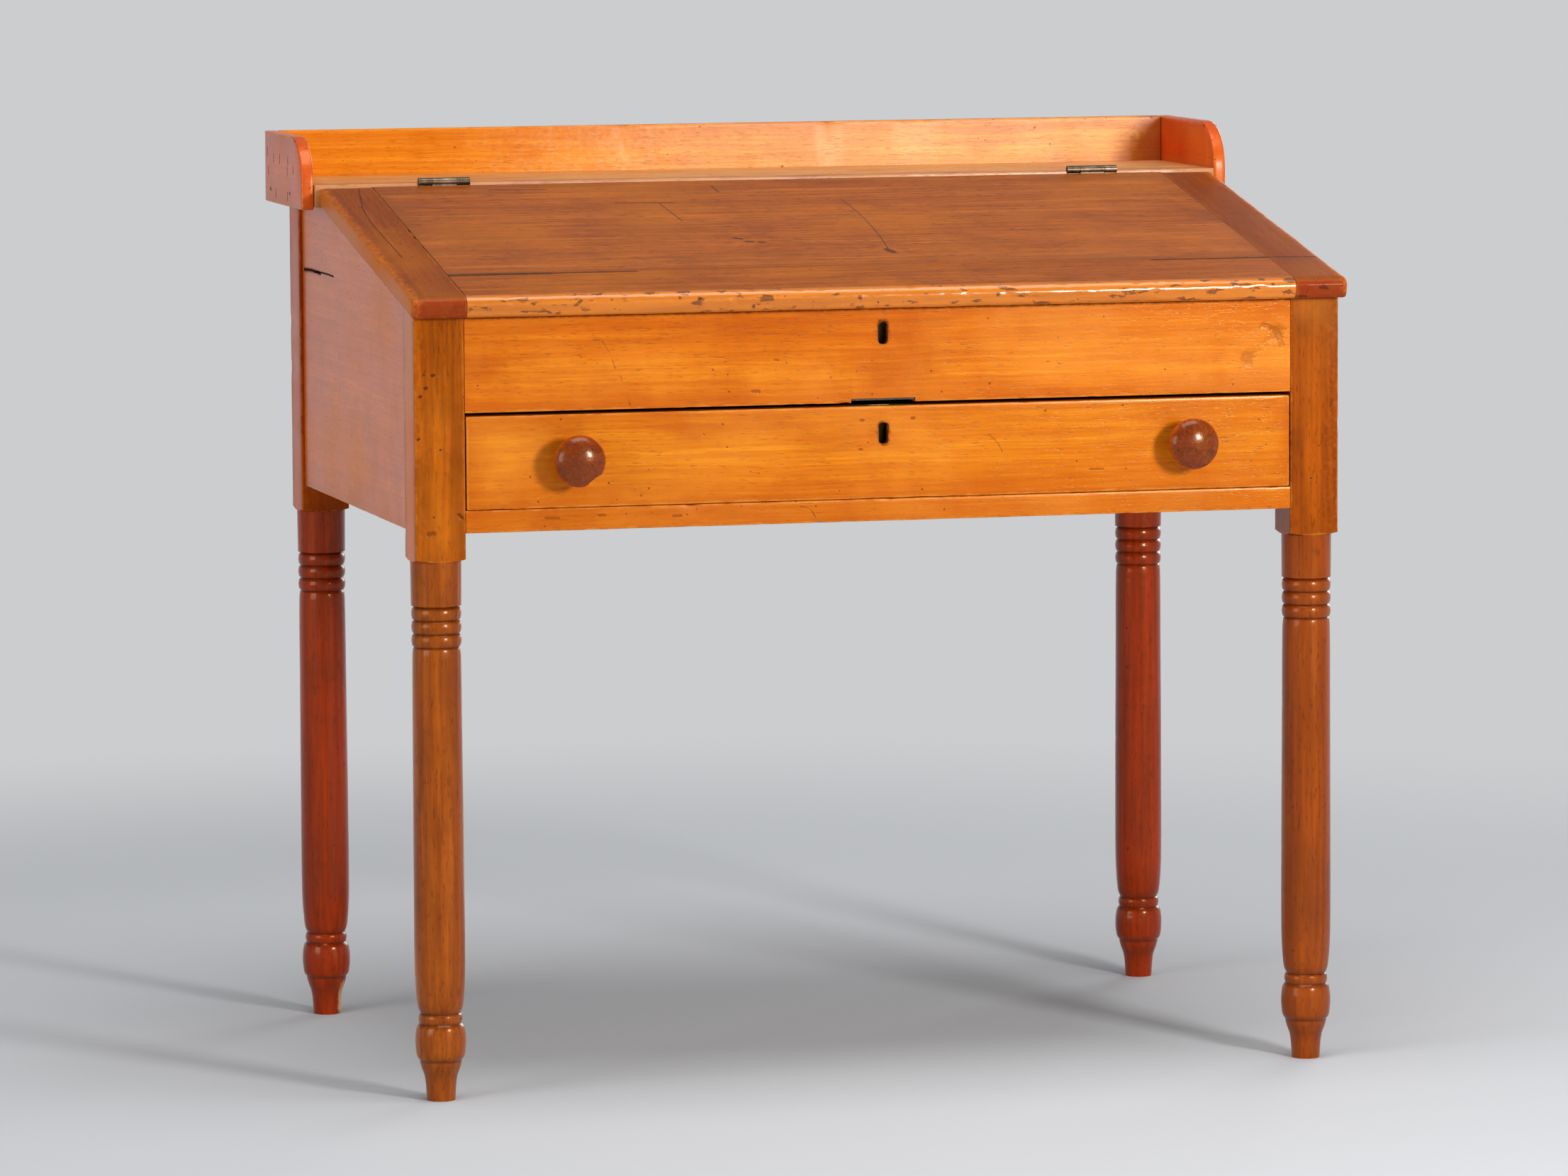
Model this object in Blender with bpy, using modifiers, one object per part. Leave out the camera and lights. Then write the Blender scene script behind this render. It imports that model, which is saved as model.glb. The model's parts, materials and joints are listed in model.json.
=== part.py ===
# A schoolmaster's slant-lid desk: turned legs, a lift-lid well, one drawer and a galleried pen shelf.
# Metres, +Z up. The front faces -Y. The origin is on the floor, under the middle of the whole desk.
# In the case frame, y runs back from the front face of the front legs and z up from the floor.

from math import acos, cos, degrees, pi, radians, sin, tan

import bmesh
import bpy
from mathutils import Vector

# Fits
FIT = 0.0003              # gap between two pieces that touch
RUNNING_GAP = 0.0012      # drawer to post, each side
BORE_GAP = 0.0003         # pin to knuckle bore, on the radius

# Legs: the square head and the turned members, from the floor up
POST = 0.0485
CASE_WIDTH = 0.914
FOOT_HEIGHT = 0.0362
FOOT_TIP_DIAMETER = 0.0270
FOOT_WAIST_DIAMETER = 0.0316
FOOT_WAIST_HEIGHT = 0.0235
FOOT_SHOULDER_DIAMETER = 0.0362
FOOT_SHOULDER_HEIGHT = 0.0300
FOOT_TOP_DIAMETER = 0.0384
FILLET_HEIGHT = 0.0026
FILLET_DIAMETER = 0.0398
BULB_HEIGHT = 0.0352
BULB_DIAMETER = 0.0483
BULB_NECK_DIAMETER = 0.0402
ANKLE_RING_HEIGHT = 0.0098
ANKLE_RING_DIAMETER = 0.0420
ANKLE_GROOVE_DIAMETER = 0.0380
SHAFT_HEIGHT = 0.3497
SHAFT_BELLY_DIAMETER = 0.0482
SHAFT_TOP_DIAMETER = 0.0462
SHAFT_SHOULDER = 0.0110
SHAFT_ANKLE_TAPER = 0.0560
RING_COUNT = 3
RING_HEIGHT = 0.0128
RING_DIAMETER = 0.0476
RING_GROOVE_DIAMETER = 0.0430
NECK_HEIGHT = 0.0431
NECK_FOOT = 0.0012        # slope from the neck into the first groove
NECK_TOP_DIAMETER = 0.0460
NECK_BOTTOM_DIAMETER = 0.0478
POMMEL_HEIGHT = 0.0070    # how far the lathe rounds the corners of the square head
TURNING_STEPS = 16
ARC_STEPS = 4
RING_STEPS = 4
BULB_STEPS = 6

# Case joinery
RAIL_RISE = 0.0271        # underside of the rail above the bottom of the square heads
RAIL_HEIGHT = 0.0214
RAIL_DEPTH = 0.0480
DRAWER_OPENING = 0.0922
UPPER_PANEL_HEIGHT = 0.0924
FRONT_THICKNESS = 0.022
FRONT_RECESS = 0.0005
TENON_LENGTH = 0.025
TENON_THICKNESS = 0.010
TENON_SHOULDER = 0.012
RAIL_TENON_HEIGHT = 0.012
RAIL_TENON_DEPTH = 0.030
PANEL_THICKNESS = 0.016
PANEL_RECESS = 0.0035
TONGUE_THICKNESS = 0.008
TONGUE_LENGTH = 0.010

# Lid
LID_SLOPE = radians(10.93)
LID_LENGTH = 0.4418
LID_THICKNESS = 0.020
LID_SIDE_OVERHANG = 0.0044
LID_FRONT_OVERHANG = 0.0181
LID_END_WIDTH = 0.0525
LID_FRONT_BOARD = 0.088
LID_TONGUE_LENGTH = 0.011
LID_TONGUE_THICKNESS = 0.0065
LID_NOSE_TOP = 0.009
LID_NOSE_BOTTOM = 0.005

# Pen shelf and gallery
LID_TO_SHELF_GAP = 0.0013
SHELF_DEPTH = 0.179
SHELF_THICKNESS = 0.0225
SHELF_STEP = 0.0028       # shelf top above the back arris of the lid
GALLERY_THICKNESS = 0.0125
GALLERY_HEIGHT = 0.071
GALLERY_DROP = 0.0025     # gallery boards below the underside of the shelf
GALLERY_INSET = 0.0095    # inner face of a gallery side, out from the face of the legs
GALLERY_FRONT_SETBACK = 0.003
GALLERY_CURVE_DEPTH = 0.050
GALLERY_CURVE_HEIGHT = 0.045
GALLERY_CURVE_STEPS = 8

# Hinges
HINGE_LENGTH = 0.052
HINGE_FROM_LID_END = 0.1258
HINGE_RISE = 0.0034       # axis above the top surface of the lid
HINGE_SETBACK = 0.0025    # axis behind the back arris of the lid
BARREL_DIAMETER = 0.0078
HINGE_PIN_DIAMETER = 0.0038
LEAF_THICKNESS = 0.0015
LEAF_HEIGHT = 0.0165
LEAF_PROUD = 0.0003
MIDDLE_KNUCKLE = 0.0250
KNUCKLE_GAP = 0.0004
LEAF_TAB_OVERLAP = 0.0011
HINGE_STEPS = 16
SCREW_SPACING = 0.030
SCREW_HEAD_DIAMETER = 0.0056
SCREW_SHANK_DIAMETER = 0.0028
SCREW_LENGTH = 0.013
SCREW_STEPS = 10

# Well
WELL_FLOOR_THICKNESS = 0.012
CLEAT_HEIGHT = 0.015

# Drawer
DRAWER_BOTTOM_GAP = 0.0005
DRAWER_TOP_GAP = 0.0034
DRAWER_BACK_ROOM = 0.0765     # behind the closed drawer, to the back panel
DRAWER_SIDE_THICKNESS = 0.013
DRAWER_SIDE_DROP = 0.003      # top of the drawer sides below the top of the front
DRAWER_BACK_THICKNESS = 0.013
DRAWER_BOTTOM_THICKNESS = 0.007
DRAWER_BOTTOM_RISE = 0.010
DRAWER_GROOVE = 0.006
DOVETAIL_LENGTH = 0.016
DOVETAIL_COUNT = 3
DOVETAIL_FLARE = 0.0030
DOVETAIL_PIN = 0.011
RUNNER_WIDTH = 0.045
RUNNER_HEIGHT = 0.015
GUIDE_HEIGHT = 0.014
STOP_LENGTH = 0.040
STOP_DEPTH = 0.020
STOP_HEIGHT = 0.006
STOP_FROM_END = 0.157         # middle of a stop from the end of the drawer front
KNOB_FROM_END = 0.1043        # knob axis from the end of the drawer front
KNOB_RISE = 0.046             # knob axis above the bottom of the drawer opening
KNOB_DIAMETER = 0.0496
KNOB_PROJECTION = 0.036
KNOB_DOME = 0.013
KNOB_NECK_DIAMETER = 0.020
KNOB_FOOT_DIAMETER = 0.025
KNOB_NECK_LENGTH = 0.012
KNOB_TENON_DIAMETER = 0.014

# Keyholes and locks
KEYHOLE_HEIGHT = 0.0205
KEYHOLE_WIDTH = 0.0094
KEYHOLE_SLOT_WIDTH = 0.0064
KEYHOLE_STEPS = 10
LID_KEYHOLE_RISE = 0.0655     # middle of the keyhole above the bottom of the upper panel
DRAWER_KEYHOLE_RISE = 0.0627  # middle of the keyhole above the bottom of the drawer opening
LOCK_RECESS = 0.0130
LOCK_DEPTH = 0.0170
LOCK_WIDTH = 0.060
LOCK_WALL = 0.0032
LOCK_BELOW_KEYHOLE = 0.020
LOCK_POCKET_ABOVE = 0.0115    # top of the key chamber above the middle of the keyhole
KEY_CHAMBER_WIDTH = 0.016
DRAWER_BOLT_WIDTH = 0.020
DRAWER_BOLT_THICKNESS = 0.005
DRAWER_BOLT_THROW = 0.009
STRIKE_WIDTH = 0.063
STRIKE_THICKNESS = 0.0016
STRIKE_NOTCH = 0.004
STRIKE_EYE_GAP = 0.0005
LID_BOLT_WIDTH = 0.0040
LID_BOLT_HEIGHT = 0.0044
LID_BOLT_LENGTH = 0.016
LID_BOLT_THROW = 0.014
LID_BOLT_DROP = 0.015         # middle of the lid bolt below the underside of the lid
LID_BOLT_GAP = 0.0005
LID_LOCK_TOP_DROP = 0.0060    # top of the lid lock below the lid
LINK_PLATE_LENGTH = 0.046
LINK_PLATE_WIDTH = 0.014
LINK_PLATE_THICKNESS = 0.0018
STAPLE_WIDTH = 0.0080
STAPLE_THICKNESS = 0.0030
STAPLE_BELOW_BOLT = 0.0022    # metal of the staple under its eye
STAPLE_BEHIND_FRONT = 0.0190  # middle of the staple's eye behind the front of the legs
STAPLE_SWING = 0.0030         # room in the lock for the arc of the staple

# Finishes: colour, roughness, metallic
AMBER = ((0.52, 0.20, 0.045, 1.0), 0.32, 0.0)
BROWN = ((0.36, 0.13, 0.045, 1.0), 0.34, 0.0)
RED_BROWN = ((0.26, 0.055, 0.020, 1.0), 0.32, 0.0)
WALNUT = ((0.085, 0.030, 0.015, 1.0), 0.28, 0.0)
PLAIN_WOOD = ((0.42, 0.26, 0.13, 1.0), 0.60, 0.0)
OLD_IRON = ((0.050, 0.040, 0.034, 1.0), 0.50, 0.9)
OLD_BRASS = ((0.30, 0.20, 0.085, 1.0), 0.45, 0.9)

# Levels and planes that follow from the sizes above
BLOCK_BOTTOM = (FOOT_HEIGHT + FILLET_HEIGHT + BULB_HEIGHT + ANKLE_RING_HEIGHT + SHAFT_HEIGHT
                + RING_COUNT * RING_HEIGHT + NECK_HEIGHT)
RAIL_BOTTOM = BLOCK_BOTTOM + RAIL_RISE
RAIL_TOP = RAIL_BOTTOM + RAIL_HEIGHT
OPENING_TOP = RAIL_TOP + DRAWER_OPENING
FRONT_TOP = OPENING_TOP + UPPER_PANEL_HEIGHT       # underside of the lid over the front of the legs
HALF_WIDTH = CASE_WIDTH / 2
POST_INSIDE = HALF_WIDTH - POST
PANEL_OUTSIDE = HALF_WIDTH - PANEL_RECESS
PANEL_INSIDE = PANEL_OUTSIDE - PANEL_THICKNESS
LID_HALF_WIDTH = HALF_WIDTH + LID_SIDE_OVERHANG
LID_REACH = LID_LENGTH + HINGE_SETBACK             # hinge axis to the front edge, along the lid
LID_UNDERSIDE = -(HINGE_RISE + LID_THICKNESS)      # in the lid's own plane
AXIS_Y = (LID_REACH * cos(LID_SLOPE) - HINGE_RISE * sin(LID_SLOPE)) - LID_FRONT_OVERHANG
AXIS_Z = FRONT_TOP - LID_UNDERSIDE / cos(LID_SLOPE) + AXIS_Y * tan(LID_SLOPE)
LID_BACK_Y = AXIS_Y - HINGE_SETBACK * cos(LID_SLOPE) + HINGE_RISE * sin(LID_SLOPE)
LID_BACK_Z = AXIS_Z - HINGE_SETBACK * sin(LID_SLOPE) - HINGE_RISE * cos(LID_SLOPE)
SHELF_FRONT = LID_BACK_Y + LID_TO_SHELF_GAP
CASE_DEPTH = SHELF_FRONT + SHELF_DEPTH
SHELF_TOP = LID_BACK_Z + SHELF_STEP
SHELF_UNDERSIDE = SHELF_TOP - SHELF_THICKNESS
BACK_POST_FRONT = CASE_DEPTH - POST
BACK_PANEL_BACK = CASE_DEPTH - PANEL_RECESS
BACK_PANEL_FRONT = BACK_PANEL_BACK - PANEL_THICKNESS
DRAWER_LENGTH = BACK_PANEL_FRONT - DRAWER_BACK_ROOM
GALLERY_BACK_FRONT = CASE_DEPTH + FIT
GALLERY_BACK = GALLERY_BACK_FRONT + GALLERY_THICKNESS
GALLERY_INSIDE = HALF_WIDTH + GALLERY_INSET
GALLERY_BOTTOM = SHELF_UNDERSIDE - GALLERY_DROP
GALLERY_TOP = GALLERY_BOTTOM + GALLERY_HEIGHT
GALLERY_FRONT = SHELF_FRONT + GALLERY_FRONT_SETBACK
PANEL_BACK_FACE = FRONT_RECESS + FRONT_THICKNESS   # back face of the upper front panel
FRONT_Y = KNOB_PROJECTION - (KNOB_PROJECTION + GALLERY_BACK) / 2
DRAWER_BOTTOM = RAIL_TOP + DRAWER_BOTTOM_GAP
DRAWER_TOP = OPENING_TOP - DRAWER_TOP_GAP
DRAWER_HALF_WIDTH = POST_INSIDE - RUNNING_GAP
DRAWER_SIDE_INSIDE = DRAWER_HALF_WIDTH - DRAWER_SIDE_THICKNESS
KNOB_FROM_CENTRE = DRAWER_HALF_WIDTH - KNOB_FROM_END
STOP_FROM_CENTRE = DRAWER_HALF_WIDTH - STOP_FROM_END
DRAWER_SIDE_TOP = DRAWER_TOP - DRAWER_SIDE_DROP
DRAWER_FLOOR = DRAWER_BOTTOM + DRAWER_BOTTOM_RISE
WELL_FLOOR_BOTTOM = OPENING_TOP + FIT
BARREL_RADIUS = BARREL_DIAMETER / 2
PANEL_TENON_FRONT = FRONT_RECESS + (FRONT_THICKNESS - TENON_THICKNESS) / 2
PANEL_TENON_BOTTOM = OPENING_TOP + TENON_SHOULDER
PANEL_TENON_TOP = FRONT_TOP - TENON_SHOULDER
RAIL_TENON_FRONT = FRONT_RECESS + (RAIL_DEPTH - RAIL_TENON_DEPTH) / 2
RAIL_TENON_BOTTOM = RAIL_BOTTOM + (RAIL_HEIGHT - RAIL_TENON_HEIGHT) / 2
TONGUE_INSIDE = PANEL_INSIDE + (PANEL_THICKNESS - TONGUE_THICKNESS) / 2
BACK_TONGUE_FRONT = BACK_PANEL_FRONT + (PANEL_THICKNESS - TONGUE_THICKNESS) / 2
LID_KEYHOLE_Z = OPENING_TOP + LID_KEYHOLE_RISE
LID_LOCK_FRONT = PANEL_BACK_FACE - LOCK_RECESS
LID_LOCK_BOTTOM = LID_KEYHOLE_Z - LOCK_BELOW_KEYHOLE
DRAWER_KEYHOLE_Z = RAIL_TOP + DRAWER_KEYHOLE_RISE
DRAWER_LOCK_FRONT = FRONT_THICKNESS - LOCK_RECESS
DRAWER_LOCK_BOTTOM = DRAWER_KEYHOLE_Z - LOCK_BELOW_KEYHOLE
DRAWER_BOLT_FRONT = DRAWER_LOCK_FRONT + LOCK_WALL + FIT
STAPLE_Z = LID_UNDERSIDE - LID_BOLT_DROP           # the staple's eye, in the lid's own plane
STAPLE_Y = (STAPLE_BEHIND_FRONT - AXIS_Y + STAPLE_Z * sin(LID_SLOPE)) / cos(LID_SLOPE)
EYE_Z = AXIS_Z + STAPLE_Y * sin(LID_SLOPE) + STAPLE_Z * cos(LID_SLOPE)
THROUGH = 0.002           # how far a cutter runs past a face
WELD = 0.000005           # points closer than this are one

SIDES = (("left", -1), ("right", 1))
SIDE_VIEW = (pi / 2, 0, pi / 2)      # an outline drawn in y and z, thick along x
FRONT_VIEW = (pi / 2, 0, 0)          # an outline drawn in x and z, thick along y


def lid_underside_at(y):
    return FRONT_TOP + y * tan(LID_SLOPE)


def empty(name, location, parent=None, tilt=0.0):
    holder = bpy.data.objects.new(name, None)
    desk.objects.link(holder)
    holder.location = location
    holder.rotation_euler = (tilt, 0, 0)
    holder.parent = parent
    return holder


def finish(name, look):
    colour, roughness, metallic = look
    material = bpy.data.materials.new(name)
    material.use_nodes = True
    shader = material.node_tree.nodes["Principled BSDF"]
    shader.inputs["Base Color"].default_value = colour
    shader.inputs["Roughness"].default_value = roughness
    shader.inputs["Metallic"].default_value = metallic
    return material


def add(name, mesh, location, parent, look=None, turn=(0, 0, 0)):
    # A piece has a look. A shape without one only cuts or joins others, and stays hidden.
    shape = bpy.data.objects.new(name, mesh)
    shape.location = location
    shape.rotation_euler = turn
    shape.parent = parent
    if look:
        desk.objects.link(shape)
        mesh.materials.append(finish(name, look))
    else:
        tools.objects.link(shape)
        shape.hide_render = True
        shape.display_type = "WIRE"
    return shape


def box(name, low, high, parent, look=None):
    mesh = bpy.data.meshes.new(name)
    cube = bmesh.new()
    bmesh.ops.create_cube(cube, size=1.0)
    bmesh.ops.scale(cube, vec=Vector(high) - Vector(low), verts=cube.verts)
    cube.to_mesh(mesh)
    cube.free()
    return add(name, mesh, (Vector(low) + Vector(high)) / 2, parent, look)


def mirrored_box(name, side, low, high, parent, look=None):
    # low and high are given for the right-hand side
    if side > 0:
        return box(name, low, high, parent, look)
    return box(name, (-high[0], low[1], low[2]), (-low[0], high[1], high[2]), parent, look)


def slab(name, outline, thickness, location, turn, parent, look=None):
    curve = bpy.data.curves.new(name, "CURVE")
    curve.dimensions = "2D"
    curve.fill_mode = "BOTH"
    curve.extrude = thickness / 2
    spline = curve.splines.new("POLY")
    spline.points.add(len(outline) - 1)
    for point, (across, up) in zip(spline.points, outline):
        point.co = (across, up, 0, 1)
    spline.use_cyclic_u = True
    holder = bpy.data.objects.new(name, curve)
    tools.objects.link(holder)
    evaluated = holder.evaluated_get(bpy.context.evaluated_depsgraph_get())
    mesh = bpy.data.meshes.new_from_object(evaluated)
    bpy.data.objects.remove(holder)
    welded = bmesh.new()
    welded.from_mesh(mesh)
    bmesh.ops.remove_doubles(welded, verts=welded.verts, dist=WELD)
    bmesh.ops.recalc_face_normals(welded, faces=welded.faces)
    welded.to_mesh(mesh)
    welded.free()
    return add(name, mesh, location, parent, look, turn)


def turned(name, profile, steps, location, turn, parent, look=None):
    mesh = bpy.data.meshes.new(name)
    edges = [(index, index + 1) for index in range(len(profile) - 1)]
    mesh.from_pydata([(radius, 0, height) for radius, height in profile], edges, [])
    shape = add(name, mesh, location, parent, look, turn)
    screw = shape.modifiers.new("turning", "SCREW")
    screw.steps = steps
    screw.render_steps = steps
    screw.use_merge_vertices = True
    screw.merge_threshold = WELD
    return shape


def rod(name, diameter, length, steps, location, turn, parent, look=None):
    profile = [(0, length / 2), (diameter / 2, length / 2), (diameter / 2, -length / 2), (0, -length / 2)]
    return turned(name, profile, steps, location, turn, parent, look)


def combine(shape, other, operation):
    modifier = shape.modifiers.new(operation.lower(), "BOOLEAN")
    modifier.operation = operation
    modifier.solver = "EXACT"
    modifier.object = other


def cut(shape, *others):
    for other in others:
        combine(shape, other, "DIFFERENCE")


def join(shape, *others):
    for other in others:
        combine(shape, other, "UNION")


def arc(centre, radii, start, end, steps):
    points = []
    for index in range(steps + 1):
        angle = radians(start + (end - start) * index / steps)
        points.append((centre[0] + radii[0] * cos(angle), centre[1] + radii[1] * sin(angle)))
    return points


def bead(bottom, height, groove_diameter, diameter, steps=RING_STEPS):
    # A half-round swelling, top to bottom
    points = []
    for index in range(steps + 1):
        angle = pi * index / steps
        radius = (groove_diameter + (diameter - groove_diameter) * sin(angle)) / 2
        points.append((radius, bottom + height * (1 + cos(angle)) / 2))
    return points


def leg_profile(top):
    foot_top = FOOT_HEIGHT
    fillet_top = foot_top + FILLET_HEIGHT
    bulb_top = fillet_top + BULB_HEIGHT
    ankle_top = bulb_top + ANKLE_RING_HEIGHT
    shaft_top = ankle_top + SHAFT_HEIGHT
    rings_top = shaft_top + RING_COUNT * RING_HEIGHT
    past_corner = POST
    points = [(0, top), (past_corner, top), (past_corner, BLOCK_BOTTOM + POMMEL_HEIGHT)]
    points += [(POST / 2, BLOCK_BOTTOM), (NECK_TOP_DIAMETER / 2, BLOCK_BOTTOM)]
    points += [(NECK_BOTTOM_DIAMETER / 2, rings_top + NECK_FOOT)]
    for ring in range(RING_COUNT):
        bottom = rings_top - (ring + 1) * RING_HEIGHT
        points += bead(bottom, RING_HEIGHT, RING_GROOVE_DIAMETER, RING_DIAMETER)[:-1]
    # The shaft: a rounded shoulder, a slow swelling, and a quicker taper to the ankle
    shoulder = shaft_top - SHAFT_SHOULDER
    rise = (SHAFT_TOP_DIAMETER - RING_GROOVE_DIAMETER) / 2
    for index in range(ARC_STEPS):
        angle = pi / 2 * index / ARC_STEPS
        points.append((RING_GROOVE_DIAMETER / 2 + rise * sin(angle),
                       shaft_top - SHAFT_SHOULDER * (1 - cos(angle))))
    points.append((SHAFT_TOP_DIAMETER / 2, shoulder))
    taper_top = ankle_top + SHAFT_ANKLE_TAPER
    swelling = (SHAFT_BELLY_DIAMETER - SHAFT_TOP_DIAMETER) / 2
    for index in range(1, ARC_STEPS + 1):
        share = index / ARC_STEPS
        points.append((SHAFT_TOP_DIAMETER / 2 + swelling * sin(pi / 2 * share),
                       shoulder + (taper_top - shoulder) * share))
    drawing_in = (SHAFT_BELLY_DIAMETER - ANKLE_GROOVE_DIAMETER) / 2
    for index in range(1, ARC_STEPS + 1):
        angle = pi / 2 * index / ARC_STEPS
        points.append((SHAFT_BELLY_DIAMETER / 2 - drawing_in * (1 - cos(angle)),
                       taper_top - SHAFT_ANKLE_TAPER * sin(angle)))
    points += bead(bulb_top, ANKLE_RING_HEIGHT, ANKLE_GROOVE_DIAMETER, ANKLE_RING_DIAMETER)[1:-1]
    points += bead(fillet_top, BULB_HEIGHT, BULB_NECK_DIAMETER, BULB_DIAMETER, BULB_STEPS)
    points += [(FILLET_DIAMETER / 2, fillet_top), (FILLET_DIAMETER / 2, foot_top)]
    points += [(FOOT_TOP_DIAMETER / 2, foot_top), (FOOT_SHOULDER_DIAMETER / 2, FOOT_SHOULDER_HEIGHT)]
    points += [(FOOT_WAIST_DIAMETER / 2, FOOT_WAIST_HEIGHT)]
    points += [(FOOT_TIP_DIAMETER / 2, 0), (0, 0)]
    return points


def front_joint_cutters(name, side):
    # Mortises in a front leg for the upper panel's and the rail's tenons
    upper = mirrored_box(f"{name}_panel_mortise", side,
                         (POST_INSIDE - THROUGH, PANEL_TENON_FRONT - FIT, PANEL_TENON_BOTTOM - FIT),
                         (POST_INSIDE + TENON_LENGTH + FIT, PANEL_TENON_FRONT + TENON_THICKNESS + FIT,
                          PANEL_TENON_TOP + FIT), case)
    lower = mirrored_box(f"{name}_rail_mortise", side,
                         (POST_INSIDE - THROUGH, RAIL_TENON_FRONT - FIT, RAIL_TENON_BOTTOM - FIT),
                         (POST_INSIDE + TENON_LENGTH + FIT, RAIL_TENON_FRONT + RAIL_TENON_DEPTH + FIT,
                          RAIL_TENON_BOTTOM + RAIL_TENON_HEIGHT + FIT), case)
    return upper, lower


def side_groove(name, side, front, back, top):
    return mirrored_box(name, side, (TONGUE_INSIDE - FIT, front, RAIL_BOTTOM - FIT),
                        (TONGUE_INSIDE + TONGUE_THICKNESS + FIT, back, top), case)


def make_legs():
    for label, side in SIDES:
        for place, front in (("front", 0), ("back", BACK_POST_FRONT)):
            name = f"leg_{place}_{label}"
            top = lid_underside_at(POST) if place == "front" else SHELF_UNDERSIDE - FIT
            leg = mirrored_box(name, side, (POST_INSIDE, front, 0), (HALF_WIDTH, front + POST, top),
                               case, BROWN)
            turning = turned(f"{name}_turning", leg_profile(top + THROUGH), TURNING_STEPS,
                             (side * (HALF_WIDTH - POST / 2), front + POST / 2, 0), (0, 0, 0), case)
            combine(leg, turning, "INTERSECT")
            if place == "front":
                slope = slab(f"{name}_slope", [(-POST, lid_underside_at(-POST) - FIT),
                                               (2 * POST, lid_underside_at(2 * POST) - FIT),
                                               (2 * POST, top + POST), (-POST, top + POST)], 2 * POST,
                             (side * (HALF_WIDTH - POST / 2), 0, 0), SIDE_VIEW, case)
                groove = side_groove(f"{name}_groove", side, POST - TONGUE_LENGTH - FIT, POST + THROUGH,
                                     top + POST)
                cut(leg, slope, groove, *front_joint_cutters(name, side))
            else:
                groove = side_groove(f"{name}_groove", side, front - THROUGH, front + TONGUE_LENGTH + FIT,
                                     top + POST)
                rear = mirrored_box(f"{name}_rear_groove", side,
                                    (POST_INSIDE - THROUGH, BACK_TONGUE_FRONT - FIT, RAIL_BOTTOM - FIT),
                                    (POST_INSIDE + TONGUE_LENGTH + FIT,
                                     BACK_TONGUE_FRONT + TONGUE_THICKNESS + FIT, top + POST), case)
                cut(leg, groove, rear)


def side_outline(front, back):
    # A side panel's outline: under the lid, then level under the shelf
    level = SHELF_UNDERSIDE - FIT
    bend = (level - FRONT_TOP + FIT) / tan(LID_SLOPE)
    return [(front, RAIL_BOTTOM), (back, RAIL_BOTTOM), (back, level), (bend, level),
            (front, lid_underside_at(front) - FIT)]


def make_panels():
    for label, side in SIDES:
        middle = side * (PANEL_INSIDE + PANEL_THICKNESS / 2)
        panel = slab(f"side_panel_{label}", side_outline(POST + FIT, BACK_POST_FRONT - FIT), PANEL_THICKNESS,
                     (middle, 0, 0), SIDE_VIEW, case, BROWN)
        tongue = slab(f"side_panel_{label}_tongue",
                      side_outline(POST - TONGUE_LENGTH, BACK_POST_FRONT + TONGUE_LENGTH), TONGUE_THICKNESS,
                      (middle, 0, 0), SIDE_VIEW, case)
        join(panel, tongue)
    back = box("back_panel", (-POST_INSIDE + FIT, BACK_PANEL_FRONT, RAIL_BOTTOM),
               (POST_INSIDE - FIT, BACK_PANEL_BACK, SHELF_UNDERSIDE - FIT), case, RED_BROWN)
    reach = POST_INSIDE + TONGUE_LENGTH
    tongue = box("back_panel_tongue", (-reach, BACK_TONGUE_FRONT, RAIL_BOTTOM),
                 (reach, BACK_TONGUE_FRONT + TONGUE_THICKNESS, SHELF_UNDERSIDE - FIT), case)
    join(back, tongue)


def keyhole(name, height, front, back, parent):
    # A round head over a narrower slot
    head = KEYHOLE_WIDTH / 2
    slot = KEYHOLE_SLOT_WIDTH / 2
    head_centre = height + KEYHOLE_HEIGHT / 2 - head
    slot_centre = height - KEYHOLE_HEIGHT / 2 + slot
    neck = degrees(acos(slot / head))
    outline = arc((0, head_centre), (head, head), -neck, 180 + neck, KEYHOLE_STEPS)
    outline += arc((0, slot_centre), (slot, slot), 180, 360, KEYHOLE_STEPS // 2)
    return slab(name, outline, back - front, (0, (front + back) / 2, 0), FRONT_VIEW, parent)


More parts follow.
